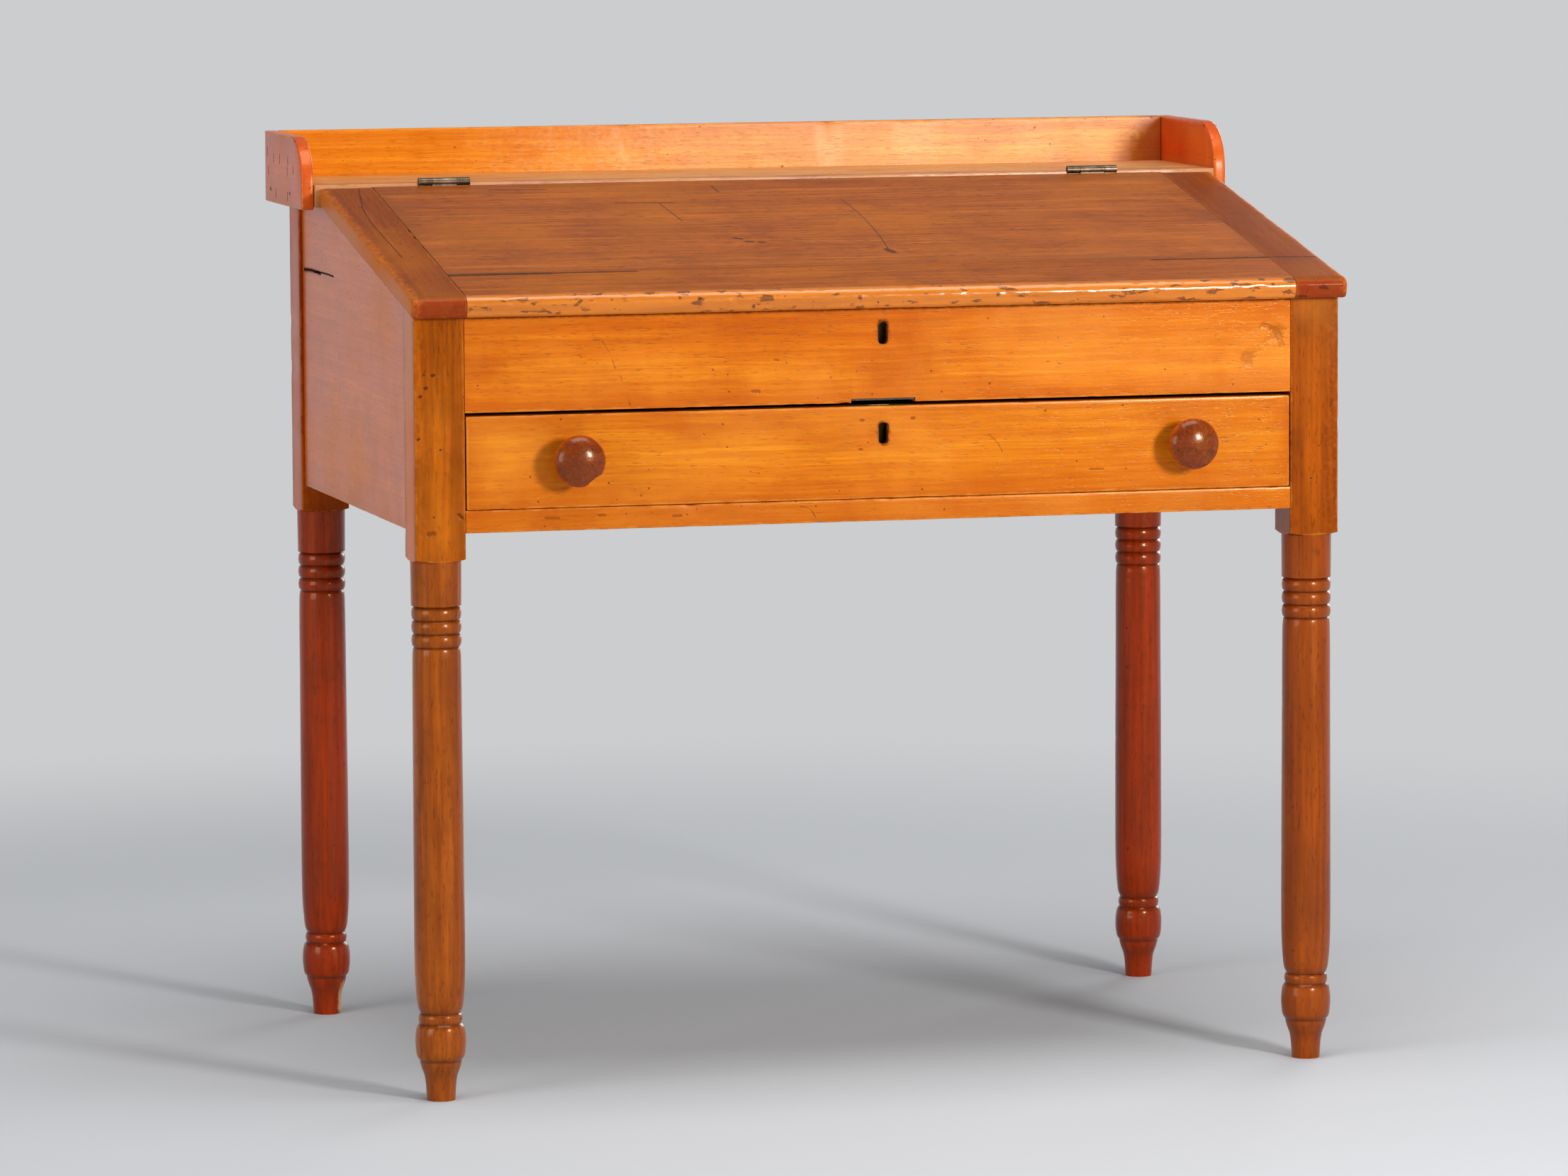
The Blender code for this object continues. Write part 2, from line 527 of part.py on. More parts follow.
def make_front():
    half = POST_INSIDE - FIT
    panel = slab("upper_front_panel",
                 [(FRONT_RECESS, OPENING_TOP), (PANEL_BACK_FACE, OPENING_TOP),
                  (PANEL_BACK_FACE, lid_underside_at(PANEL_BACK_FACE) - FIT),
                  (FRONT_RECESS, lid_underside_at(FRONT_RECESS) - FIT)],
                 2 * half, (0, 0, 0), SIDE_VIEW, case, AMBER)
    reach = POST_INSIDE + TENON_LENGTH
    tenons = box("upper_front_panel_tenons", (-reach, PANEL_TENON_FRONT, PANEL_TENON_BOTTOM),
                 (reach, PANEL_TENON_FRONT + TENON_THICKNESS, PANEL_TENON_TOP), case)
    join(panel, tenons)
    recess = box("lid_lock_recess", (-LOCK_WIDTH / 2 - FIT, LID_LOCK_FRONT - FIT, LID_LOCK_BOTTOM - FIT),
                 (LOCK_WIDTH / 2 + FIT, PANEL_BACK_FACE + THROUGH, FRONT_TOP + POST), case)
    hole = keyhole("lid_keyhole", LID_KEYHOLE_Z, FRONT_RECESS - THROUGH, LID_LOCK_FRONT, case)
    notch = box("strike_notch", (-STRIKE_WIDTH / 2 - FIT, FRONT_RECESS - THROUGH, OPENING_TOP - THROUGH),
                (STRIKE_WIDTH / 2 + FIT, PANEL_BACK_FACE + THROUGH, OPENING_TOP + STRIKE_NOTCH), case)
    mortise = bolt_way("bolt_mortise", OPENING_TOP, DRAWER_TOP + DRAWER_BOLT_THROW + THROUGH)
    cut(panel, recess, hole, notch, mortise)

    strike_top = OPENING_TOP + STRIKE_NOTCH - FIT
    strike = box("drawer_lock_strike", (-STRIKE_WIDTH / 2, FRONT_RECESS + STRIKE_THICKNESS,
                                        strike_top - STRIKE_THICKNESS),
                 (STRIKE_WIDTH / 2, PANEL_BACK_FACE - FIT, strike_top), case, OLD_IRON)
    cut(strike, bolt_way("strike_eye", OPENING_TOP, DRAWER_TOP + DRAWER_BOLT_THROW))

    rail = box("front_rail", (-half, FRONT_RECESS, RAIL_BOTTOM), (half, RAIL_DEPTH, RAIL_TOP), case, AMBER)
    rail_tenons = box("front_rail_tenons", (-reach, RAIL_TENON_FRONT, RAIL_TENON_BOTTOM),
                      (reach, RAIL_TENON_FRONT + RAIL_TENON_DEPTH, RAIL_TENON_BOTTOM + RAIL_TENON_HEIGHT),
                      case)
    join(rail, rail_tenons)


def make_inside():
    floor = box("well_floor", (-PANEL_INSIDE + FIT, PANEL_BACK_FACE + FIT, WELL_FLOOR_BOTTOM),
                (PANEL_INSIDE - FIT, BACK_PANEL_FRONT - FIT, WELL_FLOOR_BOTTOM + WELL_FLOOR_THICKNESS),
                case, PLAIN_WOOD)
    floor_top = WELL_FLOOR_BOTTOM + WELL_FLOOR_THICKNESS
    front = POST + FIT
    back = BACK_POST_FRONT - FIT
    for label, side in SIDES:
        for place, low, high in (("front", 0, front), ("back", back, CASE_DEPTH)):
            notch = mirrored_box(f"floor_notch_{place}_{label}", side,
                                 (POST_INSIDE - FIT, low, OPENING_TOP - THROUGH),
                                 (HALF_WIDTH, high, floor_top + THROUGH), case)
            cut(floor, notch)
        outside = PANEL_INSIDE - FIT
        cleat_top = WELL_FLOOR_BOTTOM - FIT
        mirrored_box(f"well_cleat_{label}", side, (POST_INSIDE, front, cleat_top - CLEAT_HEIGHT),
                     (outside, back, cleat_top), case, PLAIN_WOOD)
        mirrored_box(f"drawer_runner_{label}", side,
                     (outside - RUNNER_WIDTH, front, RAIL_TOP - RUNNER_HEIGHT),
                     (outside, back, RAIL_TOP), case, PLAIN_WOOD)
        mirrored_box(f"drawer_guide_{label}", side, (POST_INSIDE, front, RAIL_TOP + FIT),
                     (outside, back, RAIL_TOP + FIT + GUIDE_HEIGHT), case, PLAIN_WOOD)
        stop_front = FRONT_THICKNESS + 2 * FIT
        mirrored_box(f"drawer_stop_{label}", side,
                     (STOP_FROM_CENTRE - STOP_LENGTH / 2, stop_front, RAIL_TOP + FIT),
                     (STOP_FROM_CENTRE + STOP_LENGTH / 2, stop_front + STOP_DEPTH,
                      RAIL_TOP + FIT + STOP_HEIGHT), case, PLAIN_WOOD)


def make_shelf_and_gallery():
    half = GALLERY_INSIDE - FIT
    shelf = box("pen_shelf", (-half, SHELF_FRONT, SHELF_UNDERSIDE), (half, CASE_DEPTH, SHELF_TOP),
                case, BROWN)
    box("gallery_back", (-half, GALLERY_BACK_FRONT, GALLERY_BOTTOM), (half, GALLERY_BACK, GALLERY_TOP),
        case, AMBER)
    curve_centre = (GALLERY_FRONT + GALLERY_CURVE_DEPTH, GALLERY_TOP - GALLERY_CURVE_HEIGHT)
    outline = [(GALLERY_FRONT, GALLERY_BOTTOM), (GALLERY_BACK, GALLERY_BOTTOM), (GALLERY_BACK, GALLERY_TOP)]
    outline += arc(curve_centre, (GALLERY_CURVE_DEPTH, GALLERY_CURVE_HEIGHT), 90, 180, GALLERY_CURVE_STEPS)
    for label, side in SIDES:
        slab(f"gallery_side_{label}", outline, GALLERY_THICKNESS,
             (side * (GALLERY_INSIDE + GALLERY_THICKNESS / 2), 0, 0), SIDE_VIEW, case, RED_BROWN)
    return shelf


def make_lid():
    top = -HINGE_RISE
    back_bottom = -HINGE_SETBACK - LID_THICKNESS * tan(LID_SLOPE)
    bevel = [(-HINGE_SETBACK, top), (back_bottom, LID_UNDERSIDE)]
    nose = arc((LID_NOSE_BOTTOM - LID_REACH, LID_UNDERSIDE + LID_NOSE_BOTTOM),
               (LID_NOSE_BOTTOM, LID_NOSE_BOTTOM), 270, 180, ARC_STEPS)
    nose += arc((LID_NOSE_TOP - LID_REACH, top - LID_NOSE_TOP),
                (LID_NOSE_TOP, LID_NOSE_TOP), 180, 90, ARC_STEPS)
    seam = LID_FRONT_BOARD - LID_REACH
    field = LID_HALF_WIDTH - LID_END_WIDTH - FIT
    tongue_low = (top + LID_UNDERSIDE - LID_TONGUE_THICKNESS) / 2
    tongue_high = tongue_low + LID_TONGUE_THICKNESS
    back_board = slab("lid_back_board", bevel + [(seam + FIT, LID_UNDERSIDE), (seam + FIT, top)],
                      2 * field, (0, 0, 0), SIDE_VIEW, lid_plane, BROWN)
    front_board = slab("lid_front_board", [(seam, top), (seam, LID_UNDERSIDE)] + nose,
                       2 * field, (0, 0, 0), SIDE_VIEW, lid_plane, BROWN)
    reach = field + LID_TONGUE_LENGTH
    spans = ((back_board, seam + FIT, back_bottom), (front_board, 2 * FIT - LID_REACH, seam))
    for board, low, high in spans:
        tongues = box(f"{board.name}_tongues", (-reach, low, tongue_low), (reach, high, tongue_high),
                      lid_plane)
        join(board, tongues)
    for label, side in SIDES:
        end = slab(f"lid_end_{label}", bevel + nose, LID_END_WIDTH,
                   (side * (LID_HALF_WIDTH - LID_END_WIDTH / 2), 0, 0), SIDE_VIEW, lid_plane, BROWN)
        groove = mirrored_box(f"lid_end_{label}_groove", side,
                              (field - THROUGH, -LID_REACH - THROUGH, tongue_low - FIT),
                              (reach + FIT, THROUGH, tongue_high + FIT), lid_plane)
        cut(end, groove)
    return back_board, front_board


def screw_profile(grow, above):
    head = SCREW_HEAD_DIAMETER / 2 + grow
    shank = SCREW_SHANK_DIAMETER / 2 + grow
    bottom = -SCREW_LENGTH - grow
    rim = [(head, above)] if above else []
    point = [(head, -grow), (shank, -LEAF_THICKNESS - 2 * grow), (shank, bottom), (0, bottom)]
    return [(0, above)] + rim + point


def leaf_screws(name, middle, face, height, turn, leaf, wood):
    for label, side in SIDES:
        place = (middle + side * SCREW_SPACING / 2, face, height)
        way = turned(f"{name}_way_{label}", screw_profile(FIT, THROUGH), SCREW_STEPS, place, (turn, 0, 0),
                     case)
        cut(leaf, way)
        cut(wood, way)
        turned(f"{name}_{label}", screw_profile(0, 0), SCREW_STEPS, place, (turn, 0, 0), case, OLD_IRON)


def make_hinges(shelf, lid_board):
    along_x = (0, pi / 2, 0)
    half = HINGE_LENGTH / 2
    plate_top = AXIS_Z - BARREL_RADIUS - KNUCKLE_GAP
    plate_bottom = plate_top - LEAF_HEIGHT
    plate_middle = (plate_top + plate_bottom) / 2
    tab_top = AXIS_Z - BARREL_RADIUS + LEAF_TAB_OVERLAP
    tab_bottom = plate_top - LEAF_TAB_OVERLAP
    shelf_leaf_front = SHELF_FRONT - LEAF_PROUD
    shelf_leaf_back = shelf_leaf_front + LEAF_THICKNESS
    lid_leaf_back = LID_BACK_Y + LEAF_PROUD
    lid_leaf_front = lid_leaf_back - LEAF_THICKNESS
    outer_length = (HINGE_LENGTH - MIDDLE_KNUCKLE) / 2 - KNUCKLE_GAP
    bore = HINGE_PIN_DIAMETER + 2 * BORE_GAP
    for label, side in SIDES:
        middle = side * (LID_HALF_WIDTH - HINGE_FROM_LID_END)
        axis = (middle, AXIS_Y, AXIS_Z)
        name = f"hinge_{label}"
        barrel_room = rod(f"{name}_barrel_room", BARREL_DIAMETER + 2 * KNUCKLE_GAP, HINGE_LENGTH + 2 * FIT,
                          HINGE_STEPS, axis, along_x, case)
        shelf_gain = box(f"{name}_shelf_gain",
                         (middle - half - FIT, SHELF_FRONT - THROUGH, plate_bottom - FIT),
                         (middle + half + FIT, shelf_leaf_back + FIT, AXIS_Z + THROUGH), case)
        lid_gain = box(f"{name}_lid_gain", (middle - half - FIT, lid_leaf_front - FIT, plate_bottom - FIT),
                       (middle + half + FIT, LID_BACK_Y + THROUGH, AXIS_Z), case)
        cut(shelf, shelf_gain, barrel_room)
        cut(lid_board, lid_gain)

        bore_cut = rod(f"{name}_bore", bore, HINGE_LENGTH + 2 * THROUGH, HINGE_STEPS, axis, along_x, case)

        shelf_leaf = box(f"{name}_shelf_leaf", (middle - half, shelf_leaf_front, plate_bottom),
                         (middle + half, shelf_leaf_back, plate_top), case, OLD_IRON)
        leaf_screws(f"{name}_shelf_screw", middle, shelf_leaf_front, plate_middle, pi / 2, shelf_leaf, shelf)
        for place, step in SIDES:
            knuckle_middle = middle + step * (half - outer_length / 2)
            tab = box(f"{name}_tab_{place}",
                      (knuckle_middle - outer_length / 2 + FIT, shelf_leaf_front + FIT, tab_bottom),
                      (knuckle_middle + outer_length / 2 - FIT, shelf_leaf_back - FIT, tab_top), case)
            knuckle = rod(f"{name}_knuckle_{place}", BARREL_DIAMETER, outer_length, HINGE_STEPS,
                          (knuckle_middle, AXIS_Y, AXIS_Z), along_x, case)
            join(shelf_leaf, tab, knuckle)
        cut(shelf_leaf, bore_cut)

        lid_leaf = box(f"{name}_lid_leaf", (middle - half, lid_leaf_front, plate_bottom),
                       (middle + half, lid_leaf_back, plate_top), case, OLD_IRON)
        leaf_screws(f"{name}_lid_screw", middle, lid_leaf_back, plate_middle, -pi / 2, lid_leaf, lid_board)
        tab = box(f"{name}_lid_tab", (middle - MIDDLE_KNUCKLE / 2 + FIT, lid_leaf_front + FIT, tab_bottom),
                  (middle + MIDDLE_KNUCKLE / 2 - FIT, lid_leaf_back - FIT, tab_top + LEAF_PROUD), case)
        knuckle = rod(f"{name}_lid_knuckle", BARREL_DIAMETER, MIDDLE_KNUCKLE, HINGE_STEPS, axis, along_x,
                      case)
        join(lid_leaf, tab, knuckle)
        cut(lid_leaf, bore_cut)
        rod(f"{name}_pin", HINGE_PIN_DIAMETER, HINGE_LENGTH, HINGE_STEPS, axis, along_x, case, OLD_IRON)


def tails(shoulder, tip, bottom, top, gap=0.0):
    # The corners of each dovetail, bottom to top, from the shoulder out to the wider tip and back
    pitch = (top - bottom) / DOVETAIL_COUNT
    shapes = []
    for index in range(DOVETAIL_COUNT):
        middle = bottom + pitch * (index + 1 / 2)
        base = (pitch - DOVETAIL_PIN) / 2 + gap
        wide = base + DOVETAIL_FLARE
        shapes.append([(shoulder, middle - base), (tip, middle - wide),
                       (tip, middle + wide), (shoulder, middle + base)])
    return shapes


def make_drawer():
    side_shoulder = FRONT_THICKNESS + FIT
    front_tip = side_shoulder - DOVETAIL_LENGTH
    back_shoulder = DRAWER_LENGTH - DRAWER_BACK_THICKNESS - FIT
    back_bottom = DRAWER_FLOOR + DRAWER_BOTTOM_THICKNESS + 2 * FIT
    front = box("drawer_front", (-DRAWER_HALF_WIDTH, 0, DRAWER_BOTTOM),
                (DRAWER_HALF_WIDTH, FRONT_THICKNESS, DRAWER_TOP), drawer, AMBER)
    back = box("drawer_back", (-DRAWER_HALF_WIDTH, DRAWER_LENGTH - DRAWER_BACK_THICKNESS, back_bottom),
               (DRAWER_HALF_WIDTH, DRAWER_LENGTH, DRAWER_SIDE_TOP), drawer, PLAIN_WOOD)
    groove_reach = DRAWER_SIDE_INSIDE + DRAWER_GROOVE
    groove_front = FRONT_THICKNESS - DRAWER_GROOVE
    groove_low = DRAWER_FLOOR - FIT
    groove_high = DRAWER_FLOOR + DRAWER_BOTTOM_THICKNESS + FIT
    cut(front, box("drawer_front_groove", (-groove_reach - FIT, groove_front - FIT, groove_low),
                   (groove_reach + FIT, FRONT_THICKNESS + THROUGH, groove_high), drawer))
    box("drawer_bottom", (-groove_reach, groove_front, DRAWER_FLOOR),
        (groove_reach, DRAWER_LENGTH, DRAWER_FLOOR + DRAWER_BOTTOM_THICKNESS), drawer, PLAIN_WOOD)

    outline = [(side_shoulder, DRAWER_BOTTOM), (DRAWER_LENGTH, DRAWER_BOTTOM),
               (DRAWER_LENGTH, back_bottom - FIT), (back_shoulder, back_bottom - FIT)]
    for tail in tails(back_shoulder, DRAWER_LENGTH, back_bottom, DRAWER_SIDE_TOP):
        outline += tail
    outline += [(back_shoulder, DRAWER_SIDE_TOP), (side_shoulder, DRAWER_SIDE_TOP)]
    for tail in reversed(tails(side_shoulder, front_tip, DRAWER_BOTTOM, DRAWER_SIDE_TOP)):
        outline += reversed(tail)
    for label, side in SIDES:
        board = slab(f"drawer_side_{label}", outline, DRAWER_SIDE_THICKNESS,
                     (side * (DRAWER_SIDE_INSIDE + DRAWER_SIDE_THICKNESS / 2), 0, 0), SIDE_VIEW,
                     drawer, PLAIN_WOOD)
        groove = mirrored_box(f"drawer_side_{label}_groove", side,
                              (DRAWER_SIDE_INSIDE - THROUGH, groove_front - FIT, groove_low),
                              (groove_reach + FIT, DRAWER_LENGTH + THROUGH, groove_high), drawer)
        cut(board, groove)
        socket_width = DRAWER_SIDE_THICKNESS + FIT + THROUGH
        socket_middle = side * (DRAWER_SIDE_INSIDE - FIT + socket_width / 2)
        sockets = [(front, shape) for shape in tails(side_shoulder + THROUGH, front_tip - FIT,
                                                     DRAWER_BOTTOM, DRAWER_SIDE_TOP, FIT)]
        sockets += [(back, shape) for shape in tails(back_shoulder - THROUGH, DRAWER_LENGTH + THROUGH,
                                                     back_bottom, DRAWER_SIDE_TOP, 2 * FIT)]
        for index, (piece, shape) in enumerate(sockets):
            cut(piece, slab(f"{piece.name}_{label}_socket_{index}", shape, socket_width,
                            (socket_middle, 0, 0), SIDE_VIEW, drawer))
        make_knob(label, side, front)
    recess = box("drawer_lock_recess",
                 (-LOCK_WIDTH / 2 - FIT, DRAWER_LOCK_FRONT - FIT, DRAWER_LOCK_BOTTOM - FIT),
                 (LOCK_WIDTH / 2 + FIT, FRONT_THICKNESS + THROUGH, DRAWER_TOP + THROUGH), drawer)
    cut(front, recess, keyhole("drawer_keyhole", DRAWER_KEYHOLE_Z, -THROUGH, DRAWER_LOCK_FRONT, drawer))


def make_knob(label, side, front):
    # The head is two half ellipses on a flared neck, with a tenon through the drawer front
    radius = KNOB_DIAMETER / 2
    neck = KNOB_NECK_DIAMETER / 2
    widest = KNOB_PROJECTION - KNOB_DOME
    profile = arc((0, widest), (radius, KNOB_DOME), 90, 0, 2 * ARC_STEPS)
    profile += arc((neck, widest), (radius - neck, widest - KNOB_NECK_LENGTH), 0, -90, ARC_STEPS)[1:]
    profile += [(KNOB_FOOT_DIAMETER / 2, FIT), (KNOB_TENON_DIAMETER / 2, FIT)]
    profile += [(KNOB_TENON_DIAMETER / 2, -FRONT_THICKNESS), (0, -FRONT_THICKNESS)]
    profile[0] = (0, KNOB_PROJECTION)
    place = (side * KNOB_FROM_CENTRE, 0, RAIL_TOP + KNOB_RISE)
    turned(f"knob_{label}", profile, TURNING_STEPS, place, FRONT_VIEW, drawer, WALNUT)
    middle = (place[0], FRONT_THICKNESS / 2, place[2])
    cut(front, rod(f"knob_{label}_hole", KNOB_TENON_DIAMETER + 2 * FIT, FRONT_THICKNESS + 2 * THROUGH,
                   TURNING_STEPS, middle, FRONT_VIEW, drawer))


def lock_case(name, key_height, bottom, top, front, parent):
    # A cast case with a keyhole in its face and a chamber in which the key turns
    case_back = front + LOCK_DEPTH
    body = box(name, (-LOCK_WIDTH / 2, front, bottom), (LOCK_WIDTH / 2, case_back, top), parent, OLD_BRASS)
    chamber = box(f"{name}_chamber", (-KEY_CHAMBER_WIDTH / 2, front + LOCK_WALL, bottom + LOCK_WALL),
                  (KEY_CHAMBER_WIDTH / 2, case_back - LOCK_WALL, key_height + LOCK_POCKET_ABOVE), parent)
    way = keyhole(f"{name}_keyway", key_height, front - THROUGH, front + LOCK_WALL + THROUGH, parent)
    cut(body, chamber, way)
    return body


def bolt_way(name, low, high):
    gap = STRIKE_EYE_GAP
    return box(name, (-DRAWER_BOLT_WIDTH / 2 - gap, DRAWER_BOLT_FRONT - gap, low - THROUGH),
               (DRAWER_BOLT_WIDTH / 2 + gap, DRAWER_BOLT_FRONT + DRAWER_BOLT_THICKNESS + gap,
                high + THROUGH), case)


def make_drawer_lock():
    body = lock_case("drawer_lock_case", DRAWER_KEYHOLE_Z, DRAWER_LOCK_BOTTOM, DRAWER_TOP, DRAWER_LOCK_FRONT,
                     drawer)
    pocket_bottom = DRAWER_KEYHOLE_Z + LOCK_POCKET_ABOVE - FIT
    half = DRAWER_BOLT_WIDTH / 2
    back = DRAWER_BOLT_FRONT + DRAWER_BOLT_THICKNESS
    pocket = box("drawer_bolt_pocket", (-half - FIT, DRAWER_BOLT_FRONT - FIT, pocket_bottom),
                 (half + FIT, back + FIT, DRAWER_TOP + THROUGH), drawer)
    cut(body, pocket)
    box("drawer_lock_bolt", (-half, DRAWER_BOLT_FRONT, pocket_bottom + FIT), (half, back, DRAWER_TOP - FIT),
        drawer_bolt, OLD_IRON)


def make_lid_lock(front_board):
    # The staple hangs from a plate let into the lid, and the bolt runs through its eye
    half = LINK_PLATE_LENGTH / 2
    low = STAPLE_Y - LINK_PLATE_WIDTH / 2
    high = STAPLE_Y + LINK_PLATE_WIDTH / 2
    plate_top = LID_UNDERSIDE + LINK_PLATE_THICKNESS
    plate = box("lid_lock_link_plate", (-half, low, LID_UNDERSIDE), (half, high, plate_top),
                lid_plane, OLD_BRASS)
    recess = box("link_plate_recess", (-half - FIT, low - FIT, LID_UNDERSIDE - THROUGH),
                 (half + FIT, high + FIT, plate_top + FIT), lid_plane)
    cut(front_board, recess)
    eye_width = LID_BOLT_WIDTH / 2 + LID_BOLT_GAP
    eye_height = LID_BOLT_HEIGHT / 2 + LID_BOLT_GAP
    staple_bottom = STAPLE_Z - eye_height - STAPLE_BELOW_BOLT
    staple = box("lid_staple", (-STAPLE_THICKNESS / 2, STAPLE_Y - STAPLE_WIDTH / 2, staple_bottom),
                 (STAPLE_THICKNESS / 2, STAPLE_Y + STAPLE_WIDTH / 2, plate_top - LINK_PLATE_THICKNESS / 2),
                 lid_plane)
    join(plate, staple)
    eye = box("lid_staple_eye", (-STAPLE_THICKNESS, STAPLE_BEHIND_FRONT - eye_width, EYE_Z - eye_height),
              (STAPLE_THICKNESS, STAPLE_BEHIND_FRONT + eye_width, EYE_Z + eye_height), case)
    cut(plate, eye)

    body = lock_case("lid_lock_case", LID_KEYHOLE_Z, LID_LOCK_BOTTOM, FRONT_TOP - LID_LOCK_TOP_DROP,
                     LID_LOCK_FRONT, case)
    pocket = box("lid_staple_pocket",
                 (-STAPLE_THICKNESS / 2 - LID_BOLT_GAP, STAPLE_Y - STAPLE_WIDTH / 2 - STAPLE_SWING,
                  staple_bottom - LID_BOLT_GAP),
                 (STAPLE_THICKNESS / 2 + LID_BOLT_GAP, STAPLE_Y + STAPLE_WIDTH / 2 + LID_BOLT_GAP,
                  LID_UNDERSIDE), lid_plane)
    bolt_start = STAPLE_THICKNESS / 2 + LID_BOLT_GAP
    channel = box("lid_bolt_channel",
                  (bolt_start - LID_BOLT_THROW - LID_BOLT_GAP, STAPLE_BEHIND_FRONT - eye_width,
                   EYE_Z - eye_height),
                  (bolt_start + LID_BOLT_LENGTH + LID_BOLT_GAP, STAPLE_BEHIND_FRONT + eye_width,
                   EYE_Z + eye_height), case)
    cut(body, pocket, channel)
    box("lid_lock_bolt", (bolt_start, STAPLE_BEHIND_FRONT - LID_BOLT_WIDTH / 2, EYE_Z - LID_BOLT_HEIGHT / 2),
        (bolt_start + LID_BOLT_LENGTH, STAPLE_BEHIND_FRONT + LID_BOLT_WIDTH / 2,
         EYE_Z + LID_BOLT_HEIGHT / 2), lid_bolt, OLD_IRON)


for leftover in list(bpy.data.objects):
    bpy.data.objects.remove(leftover)
desk = bpy.data.collections.new("schoolmasters_desk")
tools = bpy.data.collections.new("cutters")
bpy.context.scene.collection.children.link(desk)
bpy.context.scene.collection.children.link(tools)

case = empty("case_frame", (0, FRONT_Y, 0))
lid_pivot = empty("lid_hinge_axis", (0, AXIS_Y, AXIS_Z), case)
lid_plane = empty("lid_plane", (0, 0, 0), lid_pivot, LID_SLOPE)
drawer = empty("drawer_slide", (0, 0, 0), case)
drawer_bolt = empty("drawer_bolt_slide", (0, 0, 0), drawer)
lid_bolt = empty("lid_bolt_slide", (0, 0, 0), case)

make_legs()
make_panels()
make_front()
make_inside()
pen_shelf = make_shelf_and_gallery()
lid_back_board, lid_front_board = make_lid()
make_hinges(pen_shelf, lid_back_board)
make_drawer()
make_drawer_lock()
make_lid_lock(lid_front_board)
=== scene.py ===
# Looks of the schoolmaster's desk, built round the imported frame
import json
import math

import bmesh
import bpy
from mathutils import Matrix, Vector, noise


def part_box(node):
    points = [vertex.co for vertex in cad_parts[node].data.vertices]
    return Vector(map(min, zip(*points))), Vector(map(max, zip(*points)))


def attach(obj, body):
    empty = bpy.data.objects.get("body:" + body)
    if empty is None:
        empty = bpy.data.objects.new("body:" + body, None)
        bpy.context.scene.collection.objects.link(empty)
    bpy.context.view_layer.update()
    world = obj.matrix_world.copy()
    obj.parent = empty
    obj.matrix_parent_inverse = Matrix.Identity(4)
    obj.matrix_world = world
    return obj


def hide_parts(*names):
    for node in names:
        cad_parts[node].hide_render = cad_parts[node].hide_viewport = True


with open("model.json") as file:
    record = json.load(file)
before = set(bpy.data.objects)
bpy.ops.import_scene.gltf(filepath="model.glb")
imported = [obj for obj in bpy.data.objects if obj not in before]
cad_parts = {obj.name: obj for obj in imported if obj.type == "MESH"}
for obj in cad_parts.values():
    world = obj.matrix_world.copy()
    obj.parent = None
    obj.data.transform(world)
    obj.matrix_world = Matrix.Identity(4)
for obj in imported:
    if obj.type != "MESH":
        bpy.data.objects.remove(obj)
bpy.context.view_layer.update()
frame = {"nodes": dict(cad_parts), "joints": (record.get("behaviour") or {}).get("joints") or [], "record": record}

scene = bpy.context.scene
nodes = frame["nodes"]
joints = {joint["name"]: joint for joint in frame["joints"]}
bodyOf = {node: body for body, members in frame["record"]["behaviour"]["bodies"].items() for node in members}

# Planes that several pieces share
lidSlope = math.radians(10.93)
lidPivot = Vector(joints["lid_hinge"]["pos_m"])
lidTurn = Matrix.Translation(lidPivot) @ Matrix.Rotation(lidSlope, 4, "X")
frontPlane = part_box("leg_front_left")[0].y
grainTurn = {
    "x": (0, 0, 0),
    "y": (0, 0, -math.pi / 2),
    "z": (0, math.pi / 2, 0),
    "lid": (-lidSlope, 0, 0),
    "lidEnd": (-lidSlope, 0, -math.pi / 2),
}


# Small helpers for node trees

